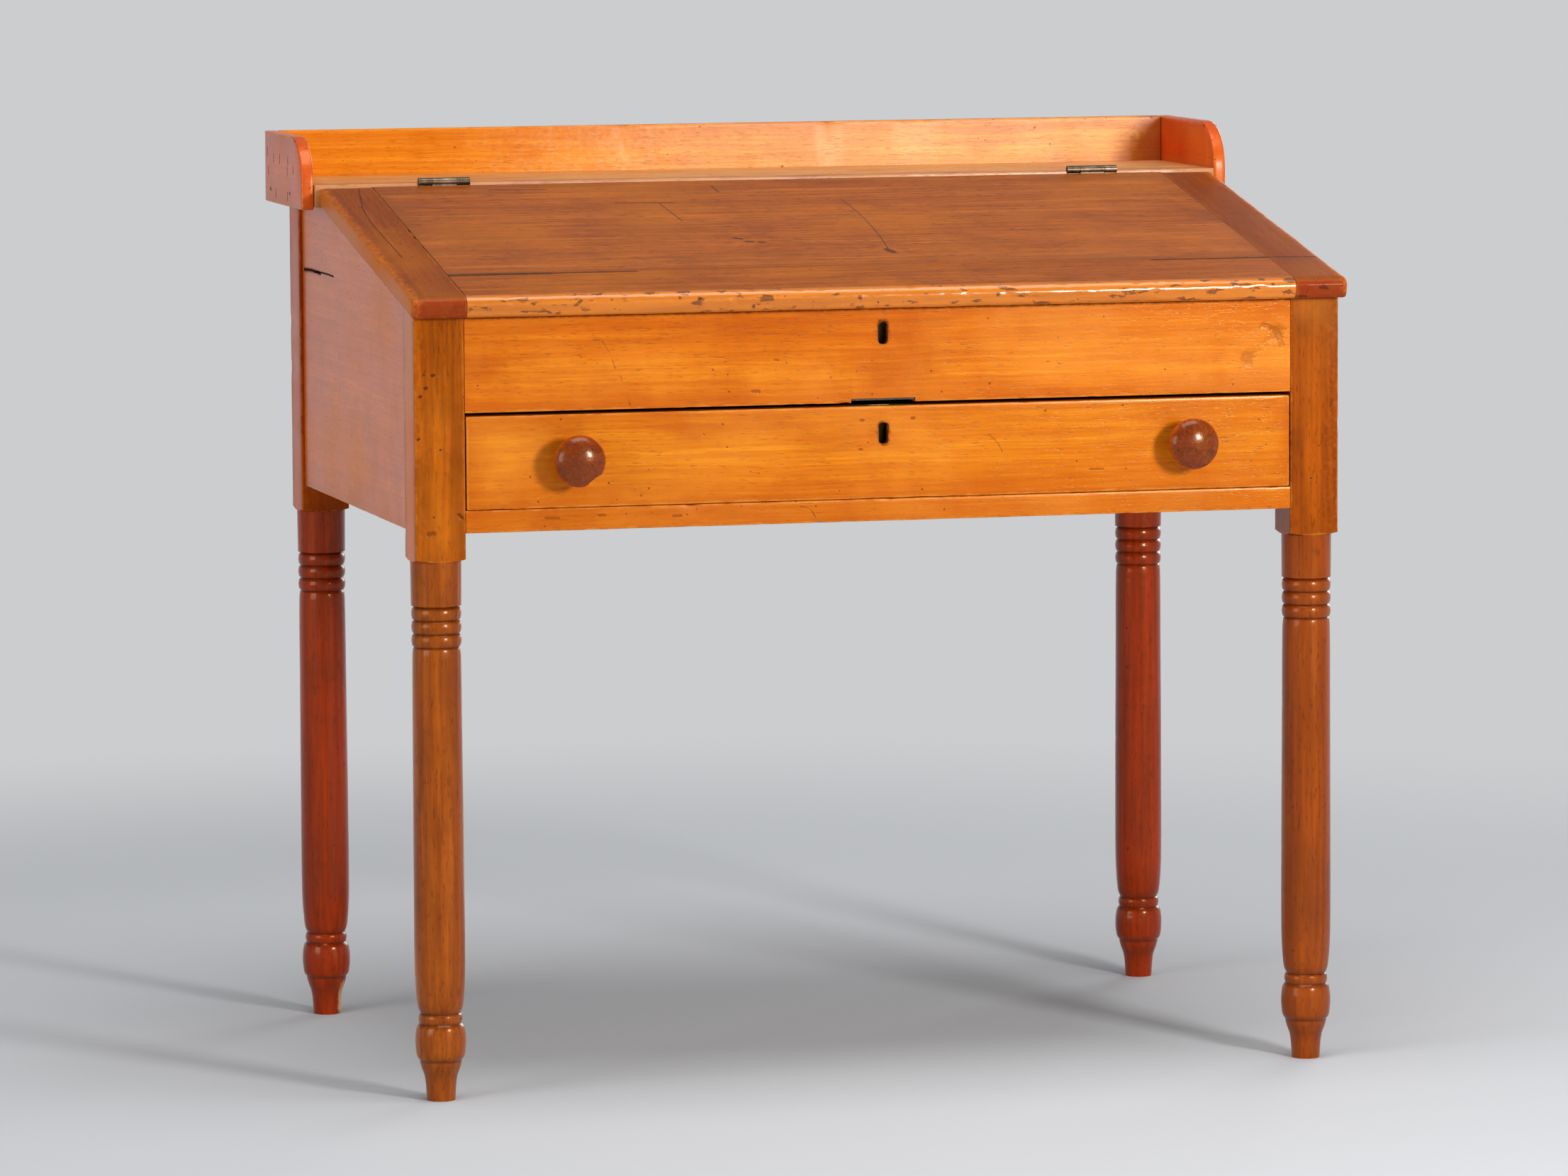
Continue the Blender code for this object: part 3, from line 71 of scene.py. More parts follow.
class Web:
    # Adds nodes to one tree: sockets are linked, other values are set on the new node

    def __init__(self, tree):
        self.tree = tree

    def link(self, value, socket):
        if isinstance(value, bpy.types.NodeSocket):
            self.tree.links.new(value, socket)
        else:
            socket.default_value = value

    def add(self, kind, links=None, **settings):
        node = self.tree.nodes.new(kind)
        for name, value in settings.items():
            setattr(node, name, value)
        for key, value in (links or {}).items():
            self.link(value, node.inputs[key])
        return node.outputs

    def math(self, operation, first, second=0.0, clamp=False):
        return self.add("ShaderNodeMath", {0: first, 1: second}, operation=operation, use_clamp=clamp)[0]

    def times(self, first, second):
        return self.math("MULTIPLY", first, second)

    def plus(self, first, second, clamp=False):
        return self.math("ADD", first, second, clamp)

    def minus(self, first, second, clamp=False):
        return self.math("SUBTRACT", first, second, clamp)

    def vector(self, operation, first, second):
        made = self.add("ShaderNodeVectorMath", {0: first, 1: second}, operation=operation)
        return made["Value" if operation in ("DOT_PRODUCT", "DISTANCE") else "Vector"]

    def scaled(self, vector, share):
        return self.add("ShaderNodeVectorMath", {0: vector, "Scale": share}, operation="SCALE")["Vector"]

    def join(self, **axes):
        return self.add("ShaderNodeCombineXYZ", axes)[0]

    def split(self, vector):
        return self.add("ShaderNodeSeparateXYZ", {0: vector})

    def fade(self, value, start, end):
        # 0 at start, 1 at end, smooth between
        return self.add("ShaderNodeMapRange", {"Value": value, "From Min": start, "From Max": end},
                        interpolation_type="SMOOTHSTEP")["Result"]

    def noise(self, vector, scale, detail=4.0, roughness=0.55, distortion=0.0):
        return self.add("ShaderNodeTexNoise", {"Vector": vector, "Scale": scale, "Detail": detail,
                                               "Roughness": roughness, "Distortion": distortion})["Fac"]

    def mix(self, factor, first, second):
        return self.add("ShaderNodeMix", {0: factor, 6: first, 7: second}, data_type="RGBA")[2]

    def over(self, colour, mask, share, tone):
        return self.mix(self.times(mask, share), colour, tone)

    def group(self, shared, links):
        return self.add("ShaderNodeGroup", links, node_tree=shared)


def newGroup(name, treeKind, inputs, outputs):
    # Inputs and outputs give a socket type for each label
    group = bpy.data.node_groups.new(name, treeKind)
    for side, sockets in (("INPUT", inputs), ("OUTPUT", outputs)):
        for label, kind in sockets.items():
            group.interface.new_socket(label, in_out=side, socket_type="NodeSocket" + kind)
    return Web(group), group.nodes.new("NodeGroupInput").outputs, group.nodes.new("NodeGroupOutput").inputs


def shaderGroup(name, vectors, floats, results):
    inputs = {**dict.fromkeys(vectors, "Vector"), **dict.fromkeys(floats, "Float")}
    return newGroup(name, "ShaderNodeTree", inputs, dict.fromkeys(results, "Float"))


# Shader groups: one effect each, shared by the finishes

grainLayers = {
    "Lines": {"along": 7.0, "detail": 5.0, "rough": 0.62, "from": 0.33, "to": 0.68},
    "Streaks": {"along": 1.3, "detail": 4.0, "rough": 0.6, "from": 0.32, "to": 0.70},
    "Pores": {"along": 95.0, "detail": 2.0, "rough": 0.5, "from": 0.57, "to": 0.70},
    "Blotch": {"along": 4.5, "detail": 3.0, "rough": 0.6, "from": 0.50, "to": 0.74, "twist": 0.4},
}
grainBend = {"scale": 3.2, "detail": 2.0, "Y": 0.012, "Z": 0.009}
grainRings = {"along": 0.22, "distortion": 2.4, "detail": 3.0, "detailScale": 6.0}
poresPerLine, blotchDensity = 2.4, 26.0


def buildGrain():
    # Grain runs along the first axis of the vector that comes in
    web, given, out = shaderGroup("woodGrain", ["Vector", "Pith"],
                                  ["Line Density", "Streak Density", "Ring Density", "Wander"],
                                  [*grainLayers, "Rings"])
    wander = web.minus(web.noise(given["Vector"], grainBend["scale"], grainBend["detail"]), 0.5)
    wander = web.times(wander, given["Wander"])
    bend = web.join(Y=web.times(wander, grainBend["Y"]), Z=web.times(wander, grainBend["Z"]))
    bent = web.vector("ADD", given["Vector"], bend)

    def stretched(along, across):
        return web.vector("MULTIPLY", bent, web.join(X=along, Y=across, Z=across))

    across = {"Lines": given["Line Density"], "Streaks": given["Streak Density"],
              "Pores": web.times(given["Line Density"], poresPerLine), "Blotch": blotchDensity}
    for label, layer in grainLayers.items():
        value = web.noise(stretched(layer["along"], across[label]), 1.0, layer["detail"], layer["rough"],
                          layer.get("twist", 0.0))
        web.link(web.fade(value, layer["from"], layer["to"]), out[label])
    fromPith = web.vector("SUBTRACT", stretched(grainRings["along"], 1.0), given["Pith"])
    rings = web.add("ShaderNodeTexWave", {"Vector": fromPith, "Scale": given["Ring Density"],
                                          "Distortion": grainRings["distortion"], "Detail": grainRings["detail"],
                                          "Detail Scale": grainRings["detailScale"]},
                    wave_type="RINGS", rings_direction="X", wave_profile="SAW")
    web.link(rings["Fac"], out["Rings"])
    return web.tree


speckRule = {"jitterScale": 160.0, "jitterDetail": 2.0, "jitter": 0.003, "least": 0.35, "core": 0.45}


def buildSpecks():
    # Dents, nicks and worm holes: a few cells of a random pattern
    web, given, out = shaderGroup("dentsAndSpecks", ["Vector"], ["Density", "Size", "Share"], ["Mark", "Depth"])
    jitter = web.add("ShaderNodeTexNoise", {"Vector": given["Vector"], "Scale": speckRule["jitterScale"],
                                            "Detail": speckRule["jitterDetail"]})["Color"]
    shaken = web.vector("ADD", given["Vector"], web.vector("MULTIPLY", jitter, [speckRule["jitter"]] * 3))
    cells = web.add("ShaderNodeTexVoronoi", {"Vector": shaken, "Scale": given["Density"]})
    pick = web.add("ShaderNodeSeparateColor", {"Color": cells["Color"]})
    chosen = web.math("LESS_THAN", pick["Red"], given["Share"])
    reach = web.times(given["Size"], web.plus(speckRule["least"], pick["Green"]))
    mark = web.times(web.fade(cells["Distance"], reach, web.times(reach, speckRule["core"])), chosen)
    web.link(mark, out["Mark"])
    web.link(web.times(mark, pick["Blue"]), out["Depth"])
    return web.tree


patchLayers = {
    "Grime": {"scale": 2.3, "detail": 6.0, "rough": 0.62, "shift": (0.0, 0.0, 0.0), "from": 0.46, "to": 0.72},
    "Rub": {"scale": 1.0, "detail": 4.0, "rough": 0.55, "shift": (3.1, 1.7, 5.3), "from": 0.42, "to": 0.70},
}
swayNoise = {"shift": (7.7, 4.1, 0.9), "scale": 9.0, "detail": 1.0}
fineNoise = {"scale": 420.0, "detail": 2.0}


def buildHandling():
    # Broad patches: grime that darkens, rubbing that dulls. Sway and Fine make the surface uneven
    web, given, out = shaderGroup("handling", ["Vector"], ["Patch Scale"], ["Grime", "Rub", "Sway", "Fine"])
    for label, layer in patchLayers.items():
        value = web.noise(web.vector("ADD", given["Vector"], layer["shift"]),
                          web.times(given["Patch Scale"], layer["scale"]), layer["detail"], layer["rough"])
        web.link(web.fade(value, layer["from"], layer["to"]), out[label])
    moved = web.vector("ADD", given["Vector"], swayNoise["shift"])
    web.link(web.noise(moved, swayNoise["scale"], swayNoise["detail"]), out["Sway"])
    web.link(web.noise(given["Vector"], fineNoise["scale"], fineNoise["detail"]), out["Fine"])
    return web.tree


arrisRule = {"scale": 55.0, "rough": 0.65, "from": 0.30, "to": 0.72, "core": 0.2}
marginRule = {"scale": 16.0, "rough": 0.6, "width": 0.065}


def buildArris():
    # How near a point is to an edge of the board whose corners are Low and High
    web, given, out = shaderGroup("arrisRub", ["Vector", "Low", "High"], ["Width"], ["Rub", "Margin"])
    fromLow = web.split(web.vector("SUBTRACT", given["Vector"], given["Low"]))
    fromHigh = web.split(web.vector("SUBTRACT", given["High"], given["Vector"]))
    near = [web.math("ABSOLUTE", web.math("MINIMUM", fromLow[axis], fromHigh[axis])) for axis in range(3)]
    least = web.math("MINIMUM", near[0], near[1])
    most = web.math("MAXIMUM", near[0], near[1])
    second = web.math("MINIMUM", web.math("MAXIMUM", least, near[2]), most)
    ragged = web.noise(given["Vector"], arrisRule["scale"], 4.0, arrisRule["rough"])
    width = web.times(given["Width"], web.fade(ragged, arrisRule["from"], arrisRule["to"]))
    web.link(web.fade(second, width, web.times(width, arrisRule["core"])), out["Rub"])
    broad = web.noise(given["Vector"], marginRule["scale"], 4.0, marginRule["rough"])
    web.link(web.fade(second, web.times(broad, marginRule["width"]), 0.0), out["Margin"])
    return web.tree


scratchRule = {"scale": 240.0, "detail": 3.0, "least": 0.35, "core": 0.3}


def buildScratch():
    # A thin line from Start to End that bows sideways in its middle
    web, given, out = shaderGroup("scratchLine", ["Vector", "Start", "End", "Bow"], ["Width"], ["Mark"])
    run = web.vector("SUBTRACT", given["End"], given["Start"])
    offset = web.vector("SUBTRACT", given["Vector"], given["Start"])
    share = web.math("DIVIDE", web.vector("DOT_PRODUCT", offset, run), web.vector("DOT_PRODUCT", run, run), True)
    hump = web.times(web.times(share, web.minus(1.0, share)), 4.0)
    line = web.vector("ADD", web.scaled(run, share), web.scaled(given["Bow"], hump))
    gap = web.vector("DISTANCE", offset, line)
    ragged = web.noise(given["Vector"], scratchRule["scale"], scratchRule["detail"])
    thin = web.times(given["Width"], web.plus(ragged, scratchRule["least"]))
    web.link(web.fade(gap, thin, web.times(thin, scratchRule["core"])), out["Mark"])
    return web.tree


woodGrain = buildGrain()
dentsAndSpecks = buildSpecks()
handling = buildHandling()
arrisRub = buildArris()
scratchLine = buildScratch()
print("shader groups:", len(bpy.data.node_groups))


# Finishes

capChip = {"scale": (48.0, 120.0, 120.0), "fade": 0.06, "darken": 0.72, "depth": 0.0008}
capWaveScale = 115.0
capLines = {"lift": 0.6, "share": 0.4}
speckSize = 0.15
depths = {"nicks": -0.0007, "specks": -0.0003, "lines": 0.000022, "pores": -0.00004}
rawWood = {"grime": 0.5, "rough": 0.35}


def newFinish(name):
    material = bpy.data.materials.new(name)
    material.use_nodes = True
    web = Web(material.node_tree)
    return material, web, web.tree.nodes["Principled BSDF"].inputs, web.add("ShaderNodeTexCoord")["Object"]


def lineMask(web, place, mark):
    return web.group(scratchLine, {"Vector": place, "Start": mark["start"], "End": mark["end"],
                                   "Bow": mark.get("bow", (0, 0, 0)), "Width": mark["width"]})["Mark"]


def woodFinish(name, look):
    material, web, shader, place = newFinish(name)
    turned = web.add("ShaderNodeMapping", {"Vector": place, "Location": look["shift"],
                                           "Rotation": grainTurn[look["grain"]]})["Vector"]
    grain = web.group(woodGrain, {"Vector": turned, "Line Density": look["lineDensity"],
                                  "Streak Density": look["streakDensity"], "Ring Density": look["ringDensity"],
                                  "Pith": look["pith"], "Wander": look["wander"]})
    shifted = web.vector("ADD", place, look["shift"])
    hands = web.group(handling, {"Vector": shifted, "Patch Scale": look["patchScale"]})
    nickShare = look["nickShare"]
    inPlane = web.add("ShaderNodeMapping", {"Vector": place, "Rotation": look["square"]})["Vector"]
    if "cap" in look:
        front = look["low"].y
        capMask = web.fade(web.split(inPlane)["Y"], front + look["capFrom"], front + look["capTo"])
        nickShare = web.plus(web.times(capMask, look["capNicks"]), nickShare)
        web.link(web.times(capMask, look["capCoat"]), shader["Coat Weight"])
        chipped = web.noise(web.vector("MULTIPLY", shifted, capChip["scale"]), 1.0, 4.0, 0.6)
        chipped = web.fade(chipped, look["capChips"], look["capChips"] + capChip["fade"])
        capChips = web.times(capMask, chipped)
        capWaves = web.times(capMask, web.noise(shifted, capWaveScale, 2.0))
    nicks = web.group(dentsAndSpecks, {"Vector": shifted, "Density": look["nickDensity"],
                                       "Size": look["nickSize"], "Share": nickShare})
    lines = web.times(web.minus(1.0, grain["Lines"]), look["lines"])
    colour = web.mix(grain["Streaks"], look["mid"], look["light"])
    colour = web.over(colour, grain["Blotch"], look["blotch"], look["dark"])
    colour = web.over(colour, grain["Rings"], look["rings"], look["dark"])
    colour = web.mix(lines, colour, look["dark"])
    colour = web.over(colour, grain["Pores"], look["pores"], look["pore"])
    colour = web.over(colour, hands["Grime"], look["grime"], look["dark"])
    colour = web.over(colour, hands["Rub"], look["rub"], look["worn"])
    rough = web.plus(web.times(hands["Rub"], look["dulling"]), look["rough"])
    if "low" in look:
        edge = web.group(arrisRub, {"Vector": inPlane, "Low": look["low"], "High": look["high"],
                                    "Width": look["edgeWidth"]})
        colour = web.over(colour, edge["Margin"], look["margin"], look["dark"])
        if "cap" in look:
            lined = web.plus(web.times(grain["Lines"], capLines["share"]), capLines["lift"], True)
            colour = web.over(colour, capMask, lined, look["cap"])
            colour = web.over(colour, capChips, capChip["darken"], look["pore"])
        colour = web.over(colour, edge["Rub"], look["edge"], look["bare"])
        rough = web.plus(web.times(edge["Rub"], look["edgeRough"]), rough, True)
    specks = web.group(dentsAndSpecks, {"Vector": shifted, "Density": look["speckDensity"], "Size": speckSize,
                                        "Share": look["speckShare"]})
    colour = web.over(colour, web.math("MAXIMUM", nicks["Mark"], specks["Mark"]), look["nicks"], look["pore"])
    height = web.times(nicks["Depth"], depths["nicks"])
    for part, depth in ((specks["Depth"], depths["specks"]), (hands["Fine"], look["ripple"]),
                        (grain["Lines"], depths["lines"]), (grain["Pores"], depths["pores"]),
                        (hands["Sway"], look["sway"])):
        height = web.plus(web.times(part, depth), height)
    if "cap" in look:
        height = web.minus(height, web.times(capChips, capChip["depth"]))
        height = web.plus(height, web.times(capWaves, look["capWaves"]))
    shine = None
    for mark in look.get("marks", []):
        line = lineMask(web, place, mark)
        colour = web.over(colour, line, mark["weight"], mark["colour"])
        height = web.minus(height, web.times(line, mark.get("depth", 0.0)))
        if mark.get("dull"):
            shine = web.minus(1.0 if shine is None else shine, line, True)
    if "hollow" in look:
        # Darker in the grooves of a turning
        grooveDarkening = web.add("ShaderNodeAttribute", attribute_name="hollow")["Fac"]
        colour = web.over(colour, grooveDarkening, look["hollow"], look["pore"])
    for raw in look.get("raw", []):
        unpolished = web.fade(web.split(place)[raw["axis"]], raw["from"], raw["to"])
        bareWood = web.mix(lines, oldPine["light"], oldPine["dark"])
        bareWood = web.over(bareWood, hands["Grime"], rawWood["grime"], oldPine["dark"])
        colour = web.over(colour, unpolished, raw["weight"], bareWood)
        rough = web.plus(web.times(unpolished, rawWood["rough"]), rough, True)
    bump = web.add("ShaderNodeBump", {"Height": height, "Strength": look["bump"], "Distance": 1.0})
    web.link(colour, shader["Base Color"])
    web.link(rough, shader["Roughness"])
    web.link(bump["Normal"], shader["Normal"])
    for label, key in (("Specular IOR Level", "specular"), ("Coat Weight", "coat")):
        shader[label].default_value = look[key]
        if shine is not None:
            web.link(web.times(shine, look[key]), shader[label])
    shader["Coat Roughness"].default_value = look["coatRough"]
    shader["Specular Tint"].default_value = look["tint"]
    return material


pits = {"size": 0.3, "share": 0.4, "depth": -0.00012}
fineMetal = {"from": 0.35, "to": 0.68, "rough": 0.25, "depth": 0.00005, "bump": 0.6}


def metalFinish(name, look):
    material, web, shader, place = newFinish(name)
    hands = web.group(handling, {"Vector": place, "Patch Scale": look["patchScale"]})
    pitted = web.group(dentsAndSpecks, {"Vector": place, "Density": look["pitDensity"], "Size": pits["size"],
                                        "Share": pits["share"]})
    fine = web.noise(place, look["fineScale"], 5.0, 0.65)
    colour = web.mix(web.fade(fine, fineMetal["from"], fineMetal["to"]), look["dark"], look["mid"])
    colour = web.over(colour, hands["Rub"], look["rub"], look["bright"])
    colour = web.over(colour, hands["Grime"], look["rust"], look["rustColour"])
    rough = web.plus(web.times(fine, fineMetal["rough"]), look["rough"], True)
    metal = web.minus(look["metal"], web.times(hands["Grime"], look["rust"]), True)
    height = web.plus(web.times(fine, fineMetal["depth"]), web.times(pitted["Depth"], pits["depth"]))
    # Painted shade: the lock case behind each keyhole is coloured black, made matte and not metal
    for hole in look.get("holes", []):
        holeShade = lineMask(web, place, hole)
        colour = web.mix(holeShade, colour, hole["colour"])
        metal = web.minus(metal, holeShade, True)
        rough = web.plus(rough, holeShade, True)
        web.link(web.times(web.minus(1.0, holeShade), 0.5), shader["Specular IOR Level"])
    bump = web.add("ShaderNodeBump", {"Height": height, "Strength": fineMetal["bump"], "Distance": 1.0})
    web.link(colour, shader["Base Color"])
    web.link(rough, shader["Roughness"])
    web.link(metal, shader["Metallic"])
    web.link(bump["Normal"], shader["Normal"])
    return material


def rgb(red, green, blue):
    return (red, green, blue, 1.0)


# Shellac over a pale, close-grained wood. Other finishes change only what differs.
shellac = {
    "grain": "x", "shift": (0.0, 0.0, 0.0), "pith": (0.0, 0.09, -0.12), "wander": 1.0,
    "lineDensity": 330.0, "streakDensity": 38.0, "ringDensity": 22.0,
    "light": rgb(0.87, 0.262, 0.011), "mid": rgb(0.77, 0.180, 0.004), "dark": rgb(0.47, 0.074, 0.002),
    "pore": rgb(0.13, 0.022, 0.003), "worn": rgb(0.90, 0.33, 0.030), "bare": rgb(0.88, 0.36, 0.060),
    "lines": 0.50, "rings": 0.28, "pores": 0.42, "blotch": 0.60, "grime": 0.50, "rub": 0.30, "patchScale": 6.0,
    "nickDensity": 70.0, "nickSize": 0.105, "nickShare": 0.20, "nicks": 0.8,
    "speckDensity": 130.0, "speckShare": 0.09,
    "edge": 0.32, "edgeWidth": 0.004, "edgeRough": 0.08, "margin": 0.45, "square": (0, 0, 0),
    "rough": 0.20, "dulling": 0.12, "sway": 0.00012, "ripple": 0.00003, "bump": 1.0,
    "coat": 0.10, "coatRough": 0.12, "specular": 0.30, "tint": rgb(1.0, 0.60, 0.26),
}
# Unpolished wood of the inside
oldPine = {**shellac, "light": rgb(0.50, 0.315, 0.155), "mid": rgb(0.42, 0.245, 0.110),
           "dark": rgb(0.27, 0.130, 0.052), "pore": rgb(0.10, 0.045, 0.018), "worn": rgb(0.47, 0.30, 0.155),
           "bare": rgb(0.52, 0.36, 0.20), "lineDensity": 170.0, "rings": 0.45, "ringDensity": 30.0, "grime": 0.4,
           "rough": 0.62, "coat": 0.0, "specular": 0.25}


# Mesh helpers

formRules = {"weld": 0.00002, "fineWeld": 0.000005, "flat": math.radians(0.5), "cut": 0.00001, "corner": 0.00005,
             "roundSteps": 3}
unevenness = {"share": 0.4, "stride": 1.7, "row": 0.3}
sharpAngles = {"board": 38, "nose": 42, "metal": 30, "turned": 50, "cove": 60}
arrisWear = {"swellScale": 60, "swell": 0.35, "dentScale": 150, "dent": 2.2, "dentFrom": 0.35}
curvedRule = {"flat": 0.99, "upright": 0.01, "slant": 0.9998}
keyholeSpan = {"half": 0.0075, "tall": 0.014, "widen": 1.12, "most": 0.0049, "stretch": 1.5}


def cadForm(node):
    # A merged copy of a node, with its flat faces whole again
    form = bmesh.new()
    form.from_mesh(nodes[node].data)
    bmesh.ops.remove_doubles(form, verts=form.verts, dist=formRules["weld"])
    bmesh.ops.dissolve_limit(form, angle_limit=formRules["flat"], verts=form.verts, edges=form.edges)
    return form


def formBox(form):
    low = Vector(min(vert.co[axis] for vert in form.verts) for axis in range(3))
    high = Vector(max(vert.co[axis] for vert in form.verts) for axis in range(3))
    return low, high


def everything(form):
    return form.verts[:] + form.edges[:] + form.faces[:]


def sliceForm(form, axis, places):
    direction = Vector((0, 0, 0))
    direction[axis] = 1
    for place in places:
        bmesh.ops.bisect_plane(form, geom=everything(form), dist=formRules["cut"], plane_co=direction * place,
                               plane_no=direction)


def evenly(low, high, step):
    # Places between low and high that are a little uneven
    count = max(2, round((high - low) / step))
    places = []
    for index in range(1, count):
        shake = noise.noise((index * unevenness["stride"], low, unevenness["row"]))
        places.append(low + (high - low) * (index + unevenness["share"] * shake) / count)
    return places


def arrisVerts(form, low, high):
    # Points on an outer edge, with the directions that lead into the wood
    found = {}
    for vert in form.verts:
        inward = Vector((0, 0, 0))
        for axis in range(3):
            if abs(vert.co[axis] - low[axis]) < formRules["corner"]:
                inward[axis] = 1
            elif abs(vert.co[axis] - high[axis]) < formRules["corner"]:
                inward[axis] = -1
        if inward.length_squared >= 2:
            found[vert] = inward
    return found


def curvedEdges(form):
    # Edges between a flat side that faces along X and a slanting facet of the outline
    found = []
    for edge in form.edges:
        if len(edge.link_faces) == 2:
            normals = [face.normal for face in edge.link_faces]
            flat, slant = sorted(normals, key=lambda normal: -abs(normal.x))
            slanting = max(abs(slant.y), abs(slant.z)) < curvedRule["slant"]
            if slanting and abs(flat.x) > curvedRule["flat"] and abs(slant.x) < curvedRule["upright"]:
                found.append(edge)
    return found


def unevenAt(point, rule, swellShift, seed):
    # How far a point is worn: broad swells, and dents where the noise is high
    swell = noise.noise(point * rule["swellScale"] + swellShift)
    dent = noise.noise(point * rule["dentScale"] + Vector((0, seed, 0)))
    return rule["swell"] * abs(swell) + rule["dent"] * max(0.0, dent - rule["dentFrom"])


def wornArrises(form, low, high, wear, roundOver, seed, curved=False, jointAt=0.0):
    corners = arrisVerts(form, low, high)
    form.normal_update()
    edges = curvedEdges(form) if curved else []
    for edge in form.edges:
        first, second = (corners.get(vert) for vert in edge.verts)
        if first and second and sum(first[axis] != 0 and first[axis] == second[axis] for axis in range(3)) >= 2:
            edges.append(edge)
    edges = [edge for edge in edges if not all(abs(vert.co.x) < jointAt for vert in edge.verts)]
    for vert, inward in corners.items():
        vert.co += inward * (wear * unevenAt(vert.co, arrisWear, Vector((seed, 0, 0)), seed))
    if roundOver:
        bmesh.ops.bevel(form, geom=edges, offset=roundOver, offset_type="OFFSET", profile=0.5,
                        segments=formRules["roundSteps"], affect="EDGES", clamp_overlap=False)


def shadeForm(form, kind):
    limit = math.radians(sharpAngles[kind])
    for face in form.faces:
        face.smooth = True
    for edge in form.edges:
        edge.smooth = len(edge.link_faces) == 2 and edge.calc_face_angle(math.pi) < limit


def addCube(form, middle, size):
    bmesh.ops.create_cube(form, size=1, matrix=Matrix.Translation(middle) @ Matrix.Diagonal((*size, 1)))


def formMesh(name, form):
    mesh = bpy.data.meshes.new(name)
    form.to_mesh(mesh)
    form.free()
    return mesh


def addObject(name, data):
    made = bpy.data.objects.new(name, data)
    scene.collection.objects.link(made)
    return made


def addPiece(name, mesh, finish, *stands):
    mesh.materials.clear()
    mesh.materials.append(finish)
    piece = addObject(name, mesh)
    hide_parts(*stands)
    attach(piece, bodyOf[stands[0]])


def widenKeyhole(form, level):
    for vert in form.verts:
        half = abs(vert.co.x)
        if half < keyholeSpan["half"] and abs(vert.co.z - level) < keyholeSpan["tall"]:
            wide = max(half * keyholeSpan["widen"], min(keyholeSpan["most"], half * keyholeSpan["stretch"]))
            vert.co.x = math.copysign(wide, vert.co.x)


def boardPiece(node, look, shape):
    # A board of the frame with worn, rounded arrises and its own finish
    form = cadForm(node)
    turn = shape.get("turn", Matrix())
    bmesh.ops.transform(form, matrix=turn.inverted(), verts=form.verts)
    low, high = formBox(form)
    if "keyhole" in shape:
        widenKeyhole(form, shape["keyhole"])
    if "plug" in shape:
        addCube(form, *shape["plug"])
    longest = max(range(3), key=lambda axis: high[axis] - low[axis])
    border = shape.get("border", 0.004)
    for axis in range(3):
        if axis == longest:
            sliceForm(form, axis, evenly(low[axis], high[axis], shape["step"]))
        elif high[axis] - low[axis] > 3 * border:
            sliceForm(form, axis, (low[axis] + border, high[axis] - border))
    wornArrises(form, low, high, shape["wear"], shape["round"], shape["seed"], shape.get("curved", False),
                shape.get("jointAt", 0.0))
    shadeForm(form, "board")
    bmesh.ops.transform(form, matrix=turn, verts=form.verts)
    slope = turn.to_euler().x
    offset = Matrix.Rotation(-slope, 4, "X") @ turn.translation
    finish = woodFinish(node + "Finish", {**look, "low": low + offset, "high": high + offset,
                                          "square": (-slope, 0, 0)})
    addPiece(node + ".board", formMesh(node + ".board", form), finish, node)


# Geometry node trees

headShape = {"neck": 0.55, "slotReach": 1.4}


def geometryGroup(name, inputs):
    return newGroup(name, "GeometryNodeTree", {"Geometry": "Geometry", **inputs, "Finish": "Material"},
                    {"Geometry": "Geometry"})


def endTree(web, shape, given, out):
    real = web.add("GeometryNodeRealizeInstances", {"Geometry": shape})[0]
    coated = web.add("GeometryNodeSetMaterial", {"Geometry": real, "Material": given["Finish"]})[0]
    web.link(coated, out["Geometry"])
    return web.tree


def grow(name, seedMesh, tree, values):
    # Runs a tree on a seed mesh and keeps the result as a plain mesh
    holder = addObject(name + "Seed", seedMesh)
    modifier = holder.modifiers.new("nodes", "NODES")
    modifier.node_group = tree
    for item in tree.interface.items_tree:
        if item.item_type == "SOCKET" and item.in_out == "INPUT" and item.name in values:
            modifier[item.identifier] = values[item.name]
    evaluated = holder.evaluated_get(bpy.context.evaluated_depsgraph_get())
    mesh = bpy.data.meshes.new_from_object(evaluated)
    holder.modifiers.remove(modifier)
    bpy.data.objects.remove(holder)
    mesh.name = name
    return mesh


def named(web, label, kind):
    return web.add("GeometryNodeInputNamedAttribute", {"Name": label}, data_type=kind)[0]


def buildTurning():
    # A stick turned on a lathe: a line of points, each with its girth
    web, given, out = geometryGroup("turnedStick", {"Facets": "Int"})
    line = web.add("GeometryNodeMeshToCurve", {"Mesh": given["Geometry"]})[0]
    girth = named(web, "girth", "FLOAT")
    sized = web.add("GeometryNodeSetCurveRadius", {"Curve": line, "Radius": girth})[0]
    ring = web.add("GeometryNodeCurvePrimitiveCircle", {"Resolution": given["Facets"], "Radius": 1.0})[0]
    skin = web.add("GeometryNodeCurveToMesh", {"Curve": sized, "Profile Curve": ring, "Fill Caps": True})[0]
    if "Scale" in skin.node.inputs:
        web.link(girth, skin.node.inputs["Scale"])
    smooth = web.add("GeometryNodeSetShadeSmooth", {"Geometry": skin})[0]
    return endTree(web, smooth, given, out)


